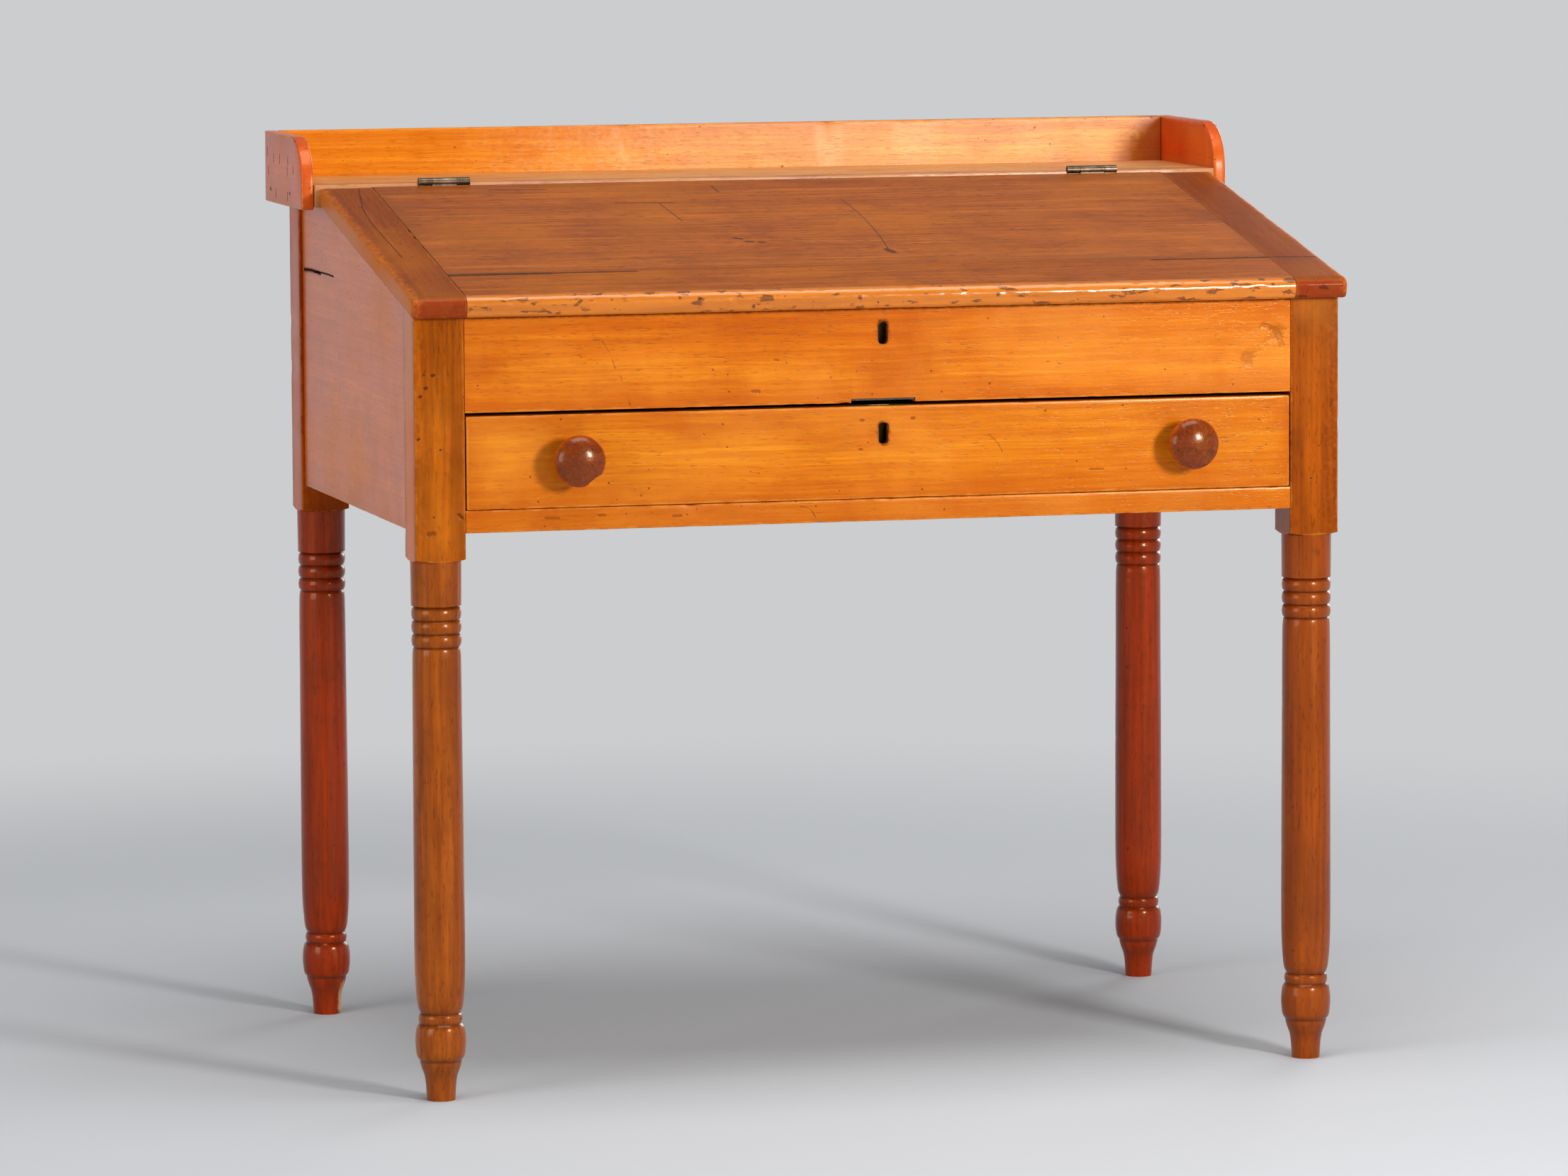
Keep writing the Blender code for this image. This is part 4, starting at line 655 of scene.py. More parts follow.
def buildHeads():
    # Nail or screw heads: one on each point, turned to its facing and spun by its twist
    sizes = ("Width", "Length", "Height", "Slot Width", "Slot Depth")
    web, given, out = geometryGroup("fastenerHeads", {**dict.fromkeys(sizes, "Float"), "Sides": "Int"})
    half = web.times(given["Width"], 0.5)
    neck = web.times(half, headShape["neck"])
    cone = web.add("GeometryNodeMeshCone", {"Vertices": given["Sides"], "Radius Top": half, "Radius Bottom": neck,
                                            "Depth": given["Height"]})["Mesh"]
    scale = web.join(X=web.math("DIVIDE", given["Length"], given["Width"]), Y=1.0, Z=1.0)
    drop = web.join(Z=web.times(given["Height"], -1.0))
    head = web.add("GeometryNodeTransform", {"Geometry": cone, "Translation": drop, "Scale": scale})[0]
    slotSize = web.join(X=web.times(given["Length"], headShape["slotReach"]), Y=given["Slot Width"],
                        Z=web.times(given["Slot Depth"], 2.0))
    slotBox = web.add("GeometryNodeMeshCube", {"Size": slotSize})["Mesh"]
    cut = web.add("GeometryNodeMeshBoolean", {"Mesh 1": head, "Mesh 2": slotBox}, operation="DIFFERENCE",
                  solver="EXACT")[0]
    aim = web.add("FunctionNodeAlignRotationToVector", {"Vector": named(web, "facing", "FLOAT_VECTOR")}, axis="Z")[0]
    spin = web.join(Z=named(web, "twist", "FLOAT"))
    turn = web.add("FunctionNodeRotateRotation", {"Rotation": aim, "Rotate By": spin}, rotation_space="LOCAL")[0]
    spread = web.add("GeometryNodeInstanceOnPoints", {"Points": given["Geometry"], "Instance": cut,
                                                      "Rotation": turn})[0]
    return endTree(web, spread, given, out)


turnedStick = buildTurning()
fastenerHeads = buildHeads()
print("geometry trees: turnedStick, fastenerHeads")


# Case boards

panelLow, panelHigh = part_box("upper_front_panel")
endLow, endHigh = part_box("gallery_side_left")
galleryLow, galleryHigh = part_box("gallery_back")
panelFace = panelLow.y
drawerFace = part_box("drawer_front")[0].y
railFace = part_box("front_rail")[0].y
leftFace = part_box("side_panel_left")[0].x
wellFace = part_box("well_floor")[1].z
lidKeyhole, drawerKeyhole = 0.7235, 0.6262
keyholeHalf = 0.006
rawSkin = {"from": 0.0016, "to": 0.0006}
dash = {"half": 0.004, "width": 0.0018, "weight": 0.85}


def mark(start, end, width, weight, colour, **more):
    return {"start": start, "end": end, "width": width, "weight": weight, "colour": colour, **more}


def keyholeStainAndShade(face, level):
    # Dirt round a keyhole and its worn rim, with painted shade on the walls inside the hole
    rows = [(0.0, 0.0105, 0.55, rgb(0.26, 0.050, 0.004))]
    # Painted shade: near-black matte marks on the keyhole's walls, at three depths
    rows += [(depth, 0.0085, 0.97, rgb(0.010, 0.004, 0.002)) for depth in (0.0, 0.006, 0.012)]
    return [mark((0, face + depth, level + keyholeHalf), (0, face + depth, level - keyholeHalf), width, weight,
                 colour, dull=weight > 0.9) for depth, width, weight, colour in rows]


def scratches(face, colour, rows):
    return [mark((x0, face, z0), (x1, face, z1), width, weight, colour, bow=(bow, 0, bow), depth=0.0004)
            for x0, z0, x1, z1, bow, width, weight in rows]


def rawInside(node, axis, sign, weight):
    # Unpolished from just under the face that looks along the axis
    low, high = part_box(node)
    face = (high if sign > 0 else low)["XYZ".index(axis)]
    return [{"axis": axis, "from": face - sign * rawSkin["from"], "to": face - sign * rawSkin["to"],
             "weight": weight}]


def galleryDash(deep, tall):
    # A short upright mark, placed by its share of the end board's depth and height
    across = endHigh.y - deep * (endHigh.y - endLow.y)
    level = endLow.z + tall * (endHigh.z - endLow.z)
    return mark((endLow.x, across, level + dash["half"]), (endLow.x, across, level - dash["half"]), dash["width"],
                dash["weight"], rgb(0.05, 0.014, 0.008), depth=0.0005, dull=True)


scratchTint = rgb(0.30, 0.062, 0.004)
# Level of the upper panel's front top edge, where the shadow under the lid is painted
lidShadowLine = panelHigh.z - (panelHigh.y - panelLow.y) * math.tan(lidSlope)
frontLook = {**shellac, "shift": (0.31, 0.12, 0.27), "raw": rawInside("upper_front_panel", "Y", 1, 0.8)}
frontLook["marks"] = keyholeStainAndShade(panelFace, lidKeyhole) + scratches(panelFace, scratchTint, [
    (-0.2755, 0.7209, -0.2627, 0.6944, 0.001, 0.0008, 0.7), (-0.2572, 0.6869, -0.2478, 0.6591, -0.001, 0.0007, 0.7),
    (-0.1290, 0.6694, -0.1225, 0.6692, 0.0, 0.0028, 0.8), (-0.1070, 0.6988, -0.1035, 0.6984, 0.0, 0.0018, 0.7),
    (0.1630, 0.6905, 0.1760, 0.6880, 0.001, 0.0009, 0.6), (0.3150, 0.7060, 0.3330, 0.7120, 0.002, 0.0009, 0.5),
    (0.3640, 0.6880, 0.3960, 0.7140, 0.006, 0.0120, 0.45), (0.3800, 0.7200, 0.3990, 0.7010, 0.004, 0.0050, 0.4)])
# Painted shadow: a dark matte line along the top of the upper panel, under the lid's nose
frontLook["marks"].append(mark((-0.41, panelFace, lidShadowLine), (0.41, panelFace, lidShadowLine), 0.0062, 0.80,
                               rgb(0.030, 0.009, 0.004), dull=True))
drawerLook = {**shellac, "shift": (0.83, 0.40, 0.61), "light": rgb(0.85, 0.285, 0.010),
              "mid": rgb(0.75, 0.205, 0.004)}
drawerLook["marks"] = keyholeStainAndShade(drawerFace, drawerKeyhole) + scratches(drawerFace, scratchTint, [
    (-0.0225, 0.6390, -0.0200, 0.6390, 0.0, 0.0024, 0.9), (0.0280, 0.6397, 0.0302, 0.6397, 0.0, 0.0022, 0.9),
    (-0.0240, 0.6112, -0.0218, 0.6112, 0.0, 0.0020, 0.9), (-0.1900, 0.6000, -0.1560, 0.5985, 0.0006, 0.0007, 0.5),
    (0.1040, 0.6230, 0.1180, 0.6050, 0.001, 0.0007, 0.5), (0.2060, 0.5860, 0.2190, 0.5858, 0.0, 0.0016, 0.7)])
railLook = {**shellac, "shift": (1.47, 0.22, 0.93), "light": rgb(0.78, 0.25, 0.010), "mid": rgb(0.68, 0.19, 0.004),
            "nickShare": 0.30}
railLook["marks"] = scratches(railFace, scratchTint, [
    (-0.3313, 0.5545, -0.3190, 0.5540, 0.0, 0.0020, 0.8), (-0.2800, 0.5556, -0.2740, 0.5556, 0.0, 0.0022, 0.8),
    (-0.2070, 0.5528, -0.2000, 0.5528, 0.0, 0.0024, 0.8), (-0.0819, 0.5580, -0.0680, 0.5481, 0.002, 0.0012, 0.8)])
sideLook = {**shellac, "grain": "y", "shift": (0.2, 0.9, 0.4), "light": rgb(0.84, 0.165, 0.011),
            "mid": rgb(0.76, 0.130, 0.007), "dark": rgb(0.46, 0.064, 0.003), "lines": 0.35, "rings": 0.2,
            "blotch": 0.3, "rough": 0.30, "specular": 0.5}
leftSideLook = {**sideLook, "raw": rawInside("side_panel_left", "X", 1, 0.8), "marks": [
    mark((leftFace, y0, z0), (leftFace, y1, z1), width, 0.95, rgb(0.020, 0.007, 0.004), bow=(0, 0, 0.001),
         depth=0.0008, dull=True)
    for y0, z0, y1, z1, width in ((0.252, 0.7606, 0.170, 0.7614, 0.0038), (0.200, 0.7612, 0.105, 0.7622, 0.0018))]}
rightSideLook = {**sideLook, "shift": (1.7, 0.3, 0.9), "raw": rawInside("side_panel_right", "X", -1, 0.8)}
backLook = {**sideLook, "grain": "x",
            "raw": rawInside("back_panel", "Y", -1, 0.85) + rawInside("back_panel", "Y", 1, 0.65)}
shelfLook = {**shellac, "shift": (0.5, 1.9, 0.1), "light": rgb(0.80, 0.42, 0.160), "mid": rgb(0.71, 0.33, 0.110),
             "dark": rgb(0.30, 0.060, 0.006), "lines": 0.4, "rings": 0.30, "specular": 0.70,
             "tint": rgb(1.0, 0.90, 0.8), "edge": 0.0, "rough": 0.34, "coat": 0.0}
galleryLook = {**shellac, "shift": (2.3, 0.2, 0.5), "light": rgb(0.95, 0.43, 0.055), "mid": rgb(0.90, 0.34, 0.025),
               "specular": 0.75, "tint": rgb(1.0, 0.88, 0.66), "sway": 0.00003, "rough": 0.40, "dulling": 0.0,
               "coat": 0.0, "blotch": 0.3, "raw": rawInside("gallery_back", "Y", 1, 0.5)}
# Painted shade: darker brown at both ends of the gallery back, by its end boards, and in its lower right corner
galleryLook["marks"] = [
    mark((x, galleryLow.y, galleryLow.z), (x, galleryLow.y, z), width, weight, rgb(0.34, 0.055, 0.004))
    for x, z, width, weight in ((galleryHigh.x, galleryHigh.z, 0.045, 0.75),
                                (galleryHigh.x - 0.03, galleryLow.z + 0.03, 0.040, 0.5),
                                (galleryLow.x, galleryHigh.z, 0.016, 0.4))]
galleryLook["marks"].append(mark(tuple(galleryLow), (galleryLow.x, galleryLow.y, galleryHigh.z), 0.55, 0.35,
                                 rgb(0.86, 0.21, 0.004), dull=True))
galleryEndLook = {**sideLook, "shift": (0.7, 2.2, 0.3), "light": rgb(0.88, 0.056, 0.001),
                  "mid": rgb(0.77, 0.040, 0.001)}
leftGalleryLook = {**galleryEndLook, "light": rgb(0.86, 0.125, 0.018), "mid": rgb(0.76, 0.098, 0.014), "marks": [
    galleryDash(deep, tall) for deep, tall in (
        (0.08, 0.72), (0.10, 0.45), (0.25, 0.64), (0.42, 0.64), (0.62, 0.50), (0.64, 0.65), (0.78, 0.54),
        (0.30, 0.15), (0.62, 0.14))]}
wellLook = {**oldPine, "marks": [
    mark((x0, y0, wellFace), (x1, y1, wellFace), width, weight, rgb(0.045, 0.030, 0.032))
    for x0, y0, x1, y1, width, weight in (
        (0.120, -0.060, 0.134, -0.052, 0.016, 0.7), (0.150, -0.085, 0.152, -0.080, 0.006, 0.7),
        (-0.230, 0.040, -0.210, 0.030, 0.010, 0.5), (-0.080, -0.170, 0.020, -0.150, 0.0016, 0.6))]}

# Each row: look, length of a slice, wear, rounding, and what else the board needs
boardRows = {
    "upper_front_panel": (frontLook, 0.009, 0.0006, 0.0008, {"keyhole": lidKeyhole}),
    "front_rail": (railLook, 0.009, 0.0007, 0.0010, {}),
    "drawer_front": (drawerLook, 0.009, 0.0007, 0.0010, {"keyhole": drawerKeyhole}),
    "side_panel_left": (leftSideLook, 0.010, 0.0006, 0.0008, {}),
    "side_panel_right": (rightSideLook, 0.010, 0.0006, 0.0008, {}),
    "back_panel": (backLook, 0.010, 0.0006, 0.0008, {}),
    "pen_shelf": (shelfLook, 0.009, 0.0007, 0.0012, {}),
    "gallery_back": (galleryLook, 0.009, 0.0008, 0.0014, {}),
    "gallery_side_left": (leftGalleryLook, 0.006, 0.0008, 0.0018, {"curved": True}),
    "gallery_side_right": (galleryEndLook, 0.006, 0.0008, 0.0018, {"curved": True}),
    "well_floor": (wellLook, 0.02, 0.0005, 0.0006, {}),
}
for part in ("well_cleat", "drawer_runner", "drawer_guide"):
    for side in ("left", "right"):
        boardRows[part + "_" + side] = ({**oldPine, "grain": "y"}, 0.02, 0.0005, 0.0008, {})
boardRows.update({
    "drawer_stop_left": (oldPine, 0.02, 0.0004, 0.0006, {}),
    "drawer_stop_right": (oldPine, 0.02, 0.0004, 0.0006, {}),
    "drawer_side_left": ({**oldPine, "grain": "y", "shift": (0.1, 0.6, 0.2)}, 0.015, 0.0006, 0.0008, {}),
    "drawer_side_right": ({**oldPine, "grain": "y", "shift": (0.4, 1.6, 0.2)}, 0.015, 0.0006, 0.0008, {}),
    "drawer_back": ({**oldPine, "shift": (1.4, 0.2, 0.7)}, 0.015, 0.0006, 0.0008, {}),
    "drawer_bottom": ({**oldPine, "shift": (0.4, 2.2, 0.1)}, 0.02, 0.0004, 0.0005, {}),
})
boardSeed = {"first": 3, "step": 2}
for index, (node, (look, step, wear, roundOver, more)) in enumerate(boardRows.items()):
    seed = boardSeed["first"] + boardSeed["step"] * index
    boardPiece(node, look, {"step": step, "wear": wear, "round": roundOver, "seed": seed, **more})
print("case and drawer boards:", len(boardRows))

# Lid boards

lidMark = rgb(0.050, 0.014, 0.006)
lidTop = -0.0034
endSide = {"across": 0.4614, "back": -0.004, "front": -0.434, "level": -0.0130}


def lidSpot(across, along):
    # A point on top of the shut lid, from its place across and the distance down the slope
    return tuple(lidTurn @ Vector((across, -along, lidTop)))


def endSpot(side, along):
    return tuple(lidTurn @ Vector((side * endSide["across"], along, endSide["level"])))


lidLook = {**shellac, "grain": "lid", "shift": (0.6, 0.3, 1.2), "light": rgb(0.56, 0.140, 0.008),
           "mid": rgb(0.47, 0.098, 0.004), "dark": rgb(0.18, 0.036, 0.003), "pore": rgb(0.060, 0.012, 0.003),
           "worn": rgb(0.52, 0.16, 0.020), "bare": rgb(0.74, 0.22, 0.016), "lines": 0.60, "rings": 0.20,
           "pores": 0.65, "grime": 0.45, "rough": 0.40, "lineDensity": 210.0, "streakDensity": 80.0, "edge": 0.0,
           "margin": 0.35, "wander": 0.35, "blotch": 0.25}
seamStains = [mark(lidSpot(x0, along0), lidSpot(x1, along1), width, weight, lidMark)
              for x0, along0, x1, along1, width, weight in (
                  (-0.412, 0.3563, -0.225, 0.3563, 0.0040, 0.9), (-0.412, 0.3570, -0.310, 0.3565, 0.0065, 0.8),
                  (0.290, 0.3563, 0.412, 0.3563, 0.0042, 0.9))]
endJoint = [mark(lidSpot(side * 0.4086, 0.004), lidSpot(side * 0.4086, 0.446), 0.0010, 0.55, lidMark)
            for side in (-1, 1)]
lidLook["marks"] = seamStains + endJoint + [
    mark((0.0488, 0.0428, 0.8320), (0.0412, -0.1573, 0.7934), 0.0011, 0.8, lidMark, bow=(0.005, 0, 0), depth=0.0002)]
lidLook["marks"] += [mark(start, end, width, weight, lidMark) for start, end, width, weight in (
    ((0.0400, -0.1560, 0.7937), (0.0440, -0.1680, 0.7914), 0.0065, 0.85),
    ((-0.1813, 0.0465, 0.8328), (-0.1234, 0.0419, 0.8319), 0.0030, 0.7),
    ((-0.1382, 0.0402, 0.8315), (-0.1325, -0.0315, 0.8177), 0.0012, 0.8),
    ((-0.0684, 0.1073, 0.8445), (-0.0672, 0.0809, 0.8394), 0.0014, 0.8),
    ((-0.0970, -0.1010, 0.8043), (-0.0930, -0.1040, 0.8037), 0.0050, 0.8),
    ((-0.0890, -0.1150, 0.8015), (-0.0850, -0.1170, 0.8012), 0.0050, 0.8),
    ((-0.0770, -0.1190, 0.8008), (-0.0735, -0.1200, 0.8006), 0.0050, 0.8),
    ((-0.2951, 0.1074, 0.8445), (-0.2397, 0.1040, 0.8439), 0.0026, 0.8))]
lidFrontLook = {**lidLook, "shift": (1.9, 0.7, 0.2), "light": rgb(0.49, 0.122, 0.007),
                "mid": rgb(0.41, 0.086, 0.004), "margin": 0.0, "marks": seamStains + endJoint,
                "cap": rgb(0.66, 0.180, 0.008), "capFrom": 0.0150, "capTo": 0.0085, "capNicks": 0.34,
                "capCoat": 0.8, "capChips": 0.585, "capWaves": 0.0006, "nickDensity": 95.0, "nickSize": 0.20,
                "nickShare": 0.04, "ripple": 0.00008}
endCrack = [mark(lidSpot(x0, along0), lidSpot(x1, along1), 0.0012, 0.75, lidMark, depth=0.0002)
            for x0, along0, x1, along1 in (
                (-0.4231, 0.004, -0.4370, 0.095), (-0.4370, 0.095, -0.4398, 0.150),
                (-0.4398, 0.150, -0.4378, 0.285))]
# Painted sheen: a lighter band on the outer side face of each lid end
endSideSheen = [mark(endSpot(side, endSide["back"]), endSpot(side, endSide["front"]), 0.017, 0.75,
                 rgb(0.74, 0.190, 0.022)) for side in (-1, 1)]
lidEndLook = {**lidLook, "grain": "lidEnd", "shift": (0.2, 1.4, 0.8), "light": rgb(0.34, 0.068, 0.005),
              "mid": rgb(0.27, 0.046, 0.003), "marks": endJoint + endSideSheen + endCrack, "specular": 0.18,
              "coat": 0.0, "cap": rgb(0.27, 0.024, 0.002), "capFrom": 0.0050, "capTo": 0.0022, "capNicks": 0.10,
              "capCoat": 0.15, "capChips": 0.62, "capWaves": 0.0004, "edge": 0.15, "edgeWidth": 0.006}
rightEndLook = {**lidEndLook, "marks": endJoint + endSideSheen + [
    mark(lidSpot(0.4085, 0.3563), lidSpot(0.4565, 0.3590), 0.0032, 0.9, lidMark, depth=0.0006)]}
groovePlug = {"inner": 0.4087, "outer": 0.4215, "front": -0.4437, "back": -0.4200, "low": -0.0180, "high": -0.0090}


def plugFor(side):
    # Fills the front of the tongue groove, which stops short of the nose
    spans = [(groovePlug[start], groovePlug[end]) for start, end in (("inner", "outer"), ("front", "back"),
                                                                     ("low", "high"))]
    middle = Vector((start + end) / 2 for start, end in spans)
    middle.x *= side
    return middle, [end - start for start, end in spans]


boardPiece("lid_back_board", lidLook, {"step": 0.009, "wear": 0.0004, "round": 0.0005, "seed": 51, "turn": lidTurn})
lidEndShape = {"step": 0.009, "wear": 0.0009, "round": 0.0036, "turn": lidTurn, "border": 0.006, "jointAt": 0.412,
               "curved": True}
for node, look, seed, side in (("lid_end_left", lidEndLook, 55, -1), ("lid_end_right", rightEndLook, 57, 1)):
    boardPiece(node, look, {**lidEndShape, "seed": seed, "plug": plugFor(side)})

lidFrontShape = {"topRadius": 0.0092, "bottomRadius": 0.0052, "noseSteps": 9, "step": 0.0035, "half": 0.4085,
                 "shutFrom": -0.195, "shutTo": 0.317, "leftGap": 0.0022, "rightGap": 0.0016, "tight": 0.00015,
                 "ragged": 0.5, "raggedScale": 60, "swell": 0.0005, "swellScale": 25, "dent": 0.0022,
                 "dentScale": 140, "dentFrom": 0.32, "seed": 53, "tongueEdge": 0.0001, "tongueIn": 0.006,
                 "tongueShort": 0.0250,
                 "topRows": (0, 0.0010, 0.004, 0.012, 0.025, 0.040, 0.055, 0.066),
                 "bottomRows": (0.066, 0.040, 0.012, 0.0010, 0)}


def noseLine(shape, low, high):
    # Section of the front board from its seam over the nose and back underneath
    line = [(high.y - drop, high.z, 0) for drop in shape["topRows"]]
    turns = [math.pi / 2 * step / shape["noseSteps"] for step in range(shape["noseSteps"] + 1)]
    radius = shape["topRadius"]
    line += [(low.y + radius * (1 - math.sin(turn)), high.z - radius * (1 - math.cos(turn)), 1) for turn in turns]
    radius = shape["bottomRadius"]
    line += [(low.y + radius * (1 - math.cos(turn)), low.z + radius * (1 - math.sin(turn)), 1) for turn in turns]
    return line + [(high.y - drop, low.z, 0) for drop in shape["bottomRows"]]


def seamGap(shape, place):
    # The glue joint is shut in the middle and has opened towards both ends
    left = max(0.0, (shape["shutFrom"] - place) / (shape["shutFrom"] + shape["half"]))
    right = max(0.0, (place - shape["shutTo"]) / (shape["half"] - shape["shutTo"]))
    ragged = 1 + shape["ragged"] * noise.noise((place * shape["raggedScale"], 2.0, 5.0))
    return ragged * (shape["leftGap"] * math.sqrt(left) + shape["rightGap"] * math.sqrt(right)) - shape["tight"]


def noseRing(form, shape, line, pivot, place):
    # The section at one place along the board, with its waves, dents and seam
    ring = []
    for index, (along, level, nose) in enumerate(line):
        spot = Vector((place, along, level))
        if nose:
            inward = Vector((0, pivot.x - along, pivot.y - level)).normalized()
            spot += inward * unevenAt(spot, shape, Vector((0, 0, shape["seed"])), shape["seed"])
        if index in (0, len(line) - 1):
            spot.y -= seamGap(shape, place)
        ring.append(form.verts.new(spot))
    return ring


def bridgeRings(form, rings):
    for first, second in zip(rings, rings[1:]):
        for index in range(len(first)):
            after = (index + 1) % len(first)
            form.faces.new((first[index], first[after], second[after], second[index]))


def lidFrontBoard(node, shape):
    form = cadForm(node)
    bmesh.ops.transform(form, matrix=lidTurn.inverted(), verts=form.verts)
    low, high = formBox(form)
    tongue = [vert.co.z for vert in form.verts if vert.co.x > high.x - shape["tongueEdge"]]
    form.free()
    line = noseLine(shape, low, high)
    pivot = Vector((low.y + shape["topRadius"], (low.z + high.z) / 2))
    half = shape["half"]
    form = bmesh.new()
    places = (-half, *evenly(-half, half, shape["step"]), half)
    rings = [noseRing(form, shape, line, pivot, place) for place in places]
    bridgeRings(form, rings)
    form.faces.new(rings[0])
    form.faces.new(rings[-1])
    for side in (-1, 1):
        inner, outer = side * (half - shape["tongueIn"]), side * high.x
        middle = Vector(((inner + outer) / 2, (low.y + high.y) / 2, sum(tongue) / len(tongue)))
        addCube(form, middle, (abs(outer - inner), high.y - low.y - shape["tongueShort"], max(tongue) - min(tongue)))
    bmesh.ops.recalc_face_normals(form, faces=form.faces)
    shadeForm(form, "nose")
    bmesh.ops.transform(form, matrix=lidTurn, verts=form.verts)
    offset = Matrix.Rotation(-lidSlope, 4, "X") @ lidPivot
    finish = woodFinish(node + "Finish", {**lidFrontLook, "low": low + offset, "high": high + offset,
                                          "square": (-lidSlope, 0, 0)})
    addPiece(node + ".board", formMesh(node + ".board", form), finish, node)


lidFrontBoard("lid_front_board", lidFrontShape)
print("lid boards: 4")


# Turned legs and knobs

turnDents = {"swellScale": 70, "swell": 0.4, "dentScale": 190, "dent": 3.0, "dentFrom": 0.45, "core": 0.001}
turnHollows = {"near": 0.0035, "deep": 0.0018, "lift": 0.15}


def awayFrom(point, centre, axis):
    away = point - centre
    away[axis] = 0
    return away


def turnedLevels(node, axis, centre, top):
    # The girth of a turned node at each of its levels
    rows = {}
    for vert in nodes[node].data.vertices:
        level = round(vert.co[axis], 4)
        if level <= top:
            rows[level] = max(rows.get(level, 0.0), awayFrom(vert.co, centre, axis).length)
    return [Vector(row) for row in sorted(rows.items())]


def smoothLine(points, step, corner):
    # Curves through the points, with corners kept where the line turns sharply
    ways = [(after - before).normalized() for before, after in zip(points, points[1:])]
    fine = [points[0]]
    for index, way in enumerate(ways):
        start, end = points[index], points[index + 1]
        before = ways[index - 1] if index else way
        after = ways[index + 1] if index + 1 < len(ways) else way
        leave = (before + way).normalized() if way.angle(before, 0) < corner else way
        arrive = (way + after).normalized() if way.angle(after, 0) < corner else way
        length = (end - start).length
        count = max(1, math.ceil(length / step))
        for part in range(1, count + 1):
            share = part / count
            square, cube = share * share, share * share * share
            fine.append(start * (2 * cube - 3 * square + 1) + leave * (length * (cube - 2 * square + share))
                        + end * (3 * square - 2 * cube) + arrive * (length * (cube - square)))
    return fine


def turnedMesh(name, line, axis, centre, finish, facets):
    places = []
    for level, girth in line:
        place = centre.copy()
        place[axis] = level
        places.append(place)
    seed = bpy.data.meshes.new(name + "Line")
    seed.from_pydata(places, [(index, index + 1) for index in range(len(places) - 1)], [])
    girths = seed.attributes.new("girth", "FLOAT", "POINT")
    girths.data.foreach_set("value", [girth for level, girth in line])
    hollows = seed.attributes.new("hollow", "FLOAT", "POINT")
    for index, (level, girth) in enumerate(line):
        widest = max(row[1] for row in line if abs(row[0] - level) < turnHollows["near"])
        hollow = (widest - girth) / turnHollows["deep"] - turnHollows["lift"]
        hollows.data[index].value = min(1.0, max(0.0, hollow))
    return grow(name, seed, turnedStick, {"Facets": facets, "Finish": finish})


def dentMesh(mesh, centre, axis, amount, seed):
    form = bmesh.new()
    form.from_mesh(mesh)
    bmesh.ops.remove_doubles(form, verts=form.verts, dist=formRules["fineWeld"])
    bmesh.ops.recalc_face_normals(form, faces=form.faces)
    for vert in form.verts:
        away = awayFrom(vert.co, centre, axis)
        if away.length > turnDents["core"]:
            vert.co -= away.normalized() * amount * unevenAt(vert.co, turnDents, Vector((seed, 0, 0)), seed)
    shadeForm(form, "turned")
    form.to_mesh(mesh)
    form.free()


legLook = {**shellac, "grain": "z", "light": rgb(0.70, 0.168, 0.005), "mid": rgb(0.56, 0.112, 0.003),
           "dark": rgb(0.17, 0.028, 0.002), "pore": rgb(0.07, 0.012, 0.002), "worn": rgb(0.64, 0.19, 0.014),
           "bare": rgb(0.70, 0.22, 0.020), "lineDensity": 190.0, "streakDensity": 60.0, "lines": 0.55, "rings": 0.3,
           "rough": 0.22, "hollow": 0.75, "nickShare": 0.22, "paintedSheen": rgb(0.78, 0.160, 0.012),
           "turned": {"light": rgb(0.47, 0.102, 0.004), "mid": rgb(0.36, 0.068, 0.002)}}
headLook = {"specular": 0.18, "coat": 0.0, "margin": 0.30}
turnedLook = {"coat": 0.20, "coatRough": 0.10, "rings": 0.0, "rub": 0.0, "lines": 0.65}
rightLegTint = {"light": rgb(0.52, 0.106, 0.003), "mid": rgb(0.40, 0.070, 0.002),
                "turned": {"light": rgb(0.40, 0.070, 0.002), "mid": rgb(0.30, 0.046, 0.001)}}
backLegLook = {**legLook, "light": rgb(0.50, 0.065, 0.002), "mid": rgb(0.40, 0.042, 0.001),
               "dark": rgb(0.17, 0.016, 0.001), "paintedSheen": rgb(0.70, 0.100, 0.006),
               "turned": {"light": rgb(0.43, 0.035, 0.001), "mid": rgb(0.34, 0.022, 0.001)}}
postDents = scratches(frontPlane, rgb(0.10, 0.018, 0.002), [
    (-0.4522, 0.6720, -0.4505, 0.6728, 0.0, 0.0022, 0.9), (-0.4470, 0.6800, -0.4450, 0.6806, 0.0, 0.0026, 0.9),
    (-0.4400, 0.6918, -0.4380, 0.6924, 0.0, 0.0024, 0.9), (-0.4540, 0.6320, -0.4528, 0.6328, 0.0, 0.0020, 0.9),
    (-0.4445, 0.5424, -0.4395, 0.5428, 0.0006, 0.0040, 0.55), (-0.4150, 0.5600, -0.4120, 0.5570, 0.0, 0.0030, 0.8)])
footChip = [mark((-0.4190, 0.2780, 0.006), (-0.4200, 0.2765, 0.031), 0.0085, 0.9, rgb(0.74, 0.34, 0.11),
                 depth=0.0006)]
legShape = {"bottom": 0.515, "slice": 0.009, "border": 0.004, "wear": 0.0008, "round": 0.0012, "step": 0.0016,
            "corner": math.radians(32), "facets": 64, "dent": 0.0003, "slack": 0.0001, "sheenWidth": 0.032,
            "sheenWeight": 0.7}
legRows = {
    "leg_front_left": ({**legLook, "marks": postDents}, (0.1, 0.4, 0.7), 61),
    "leg_front_right": ({**legLook, **rightLegTint}, (1.3, 0.9, 0.2), 63),
    "leg_back_left": ({**backLegLook, "marks": footChip}, (0.5, 2.3, 0.6), 65),
    "leg_back_right": (backLegLook, (2.1, 0.2, 1.6), 67),
}


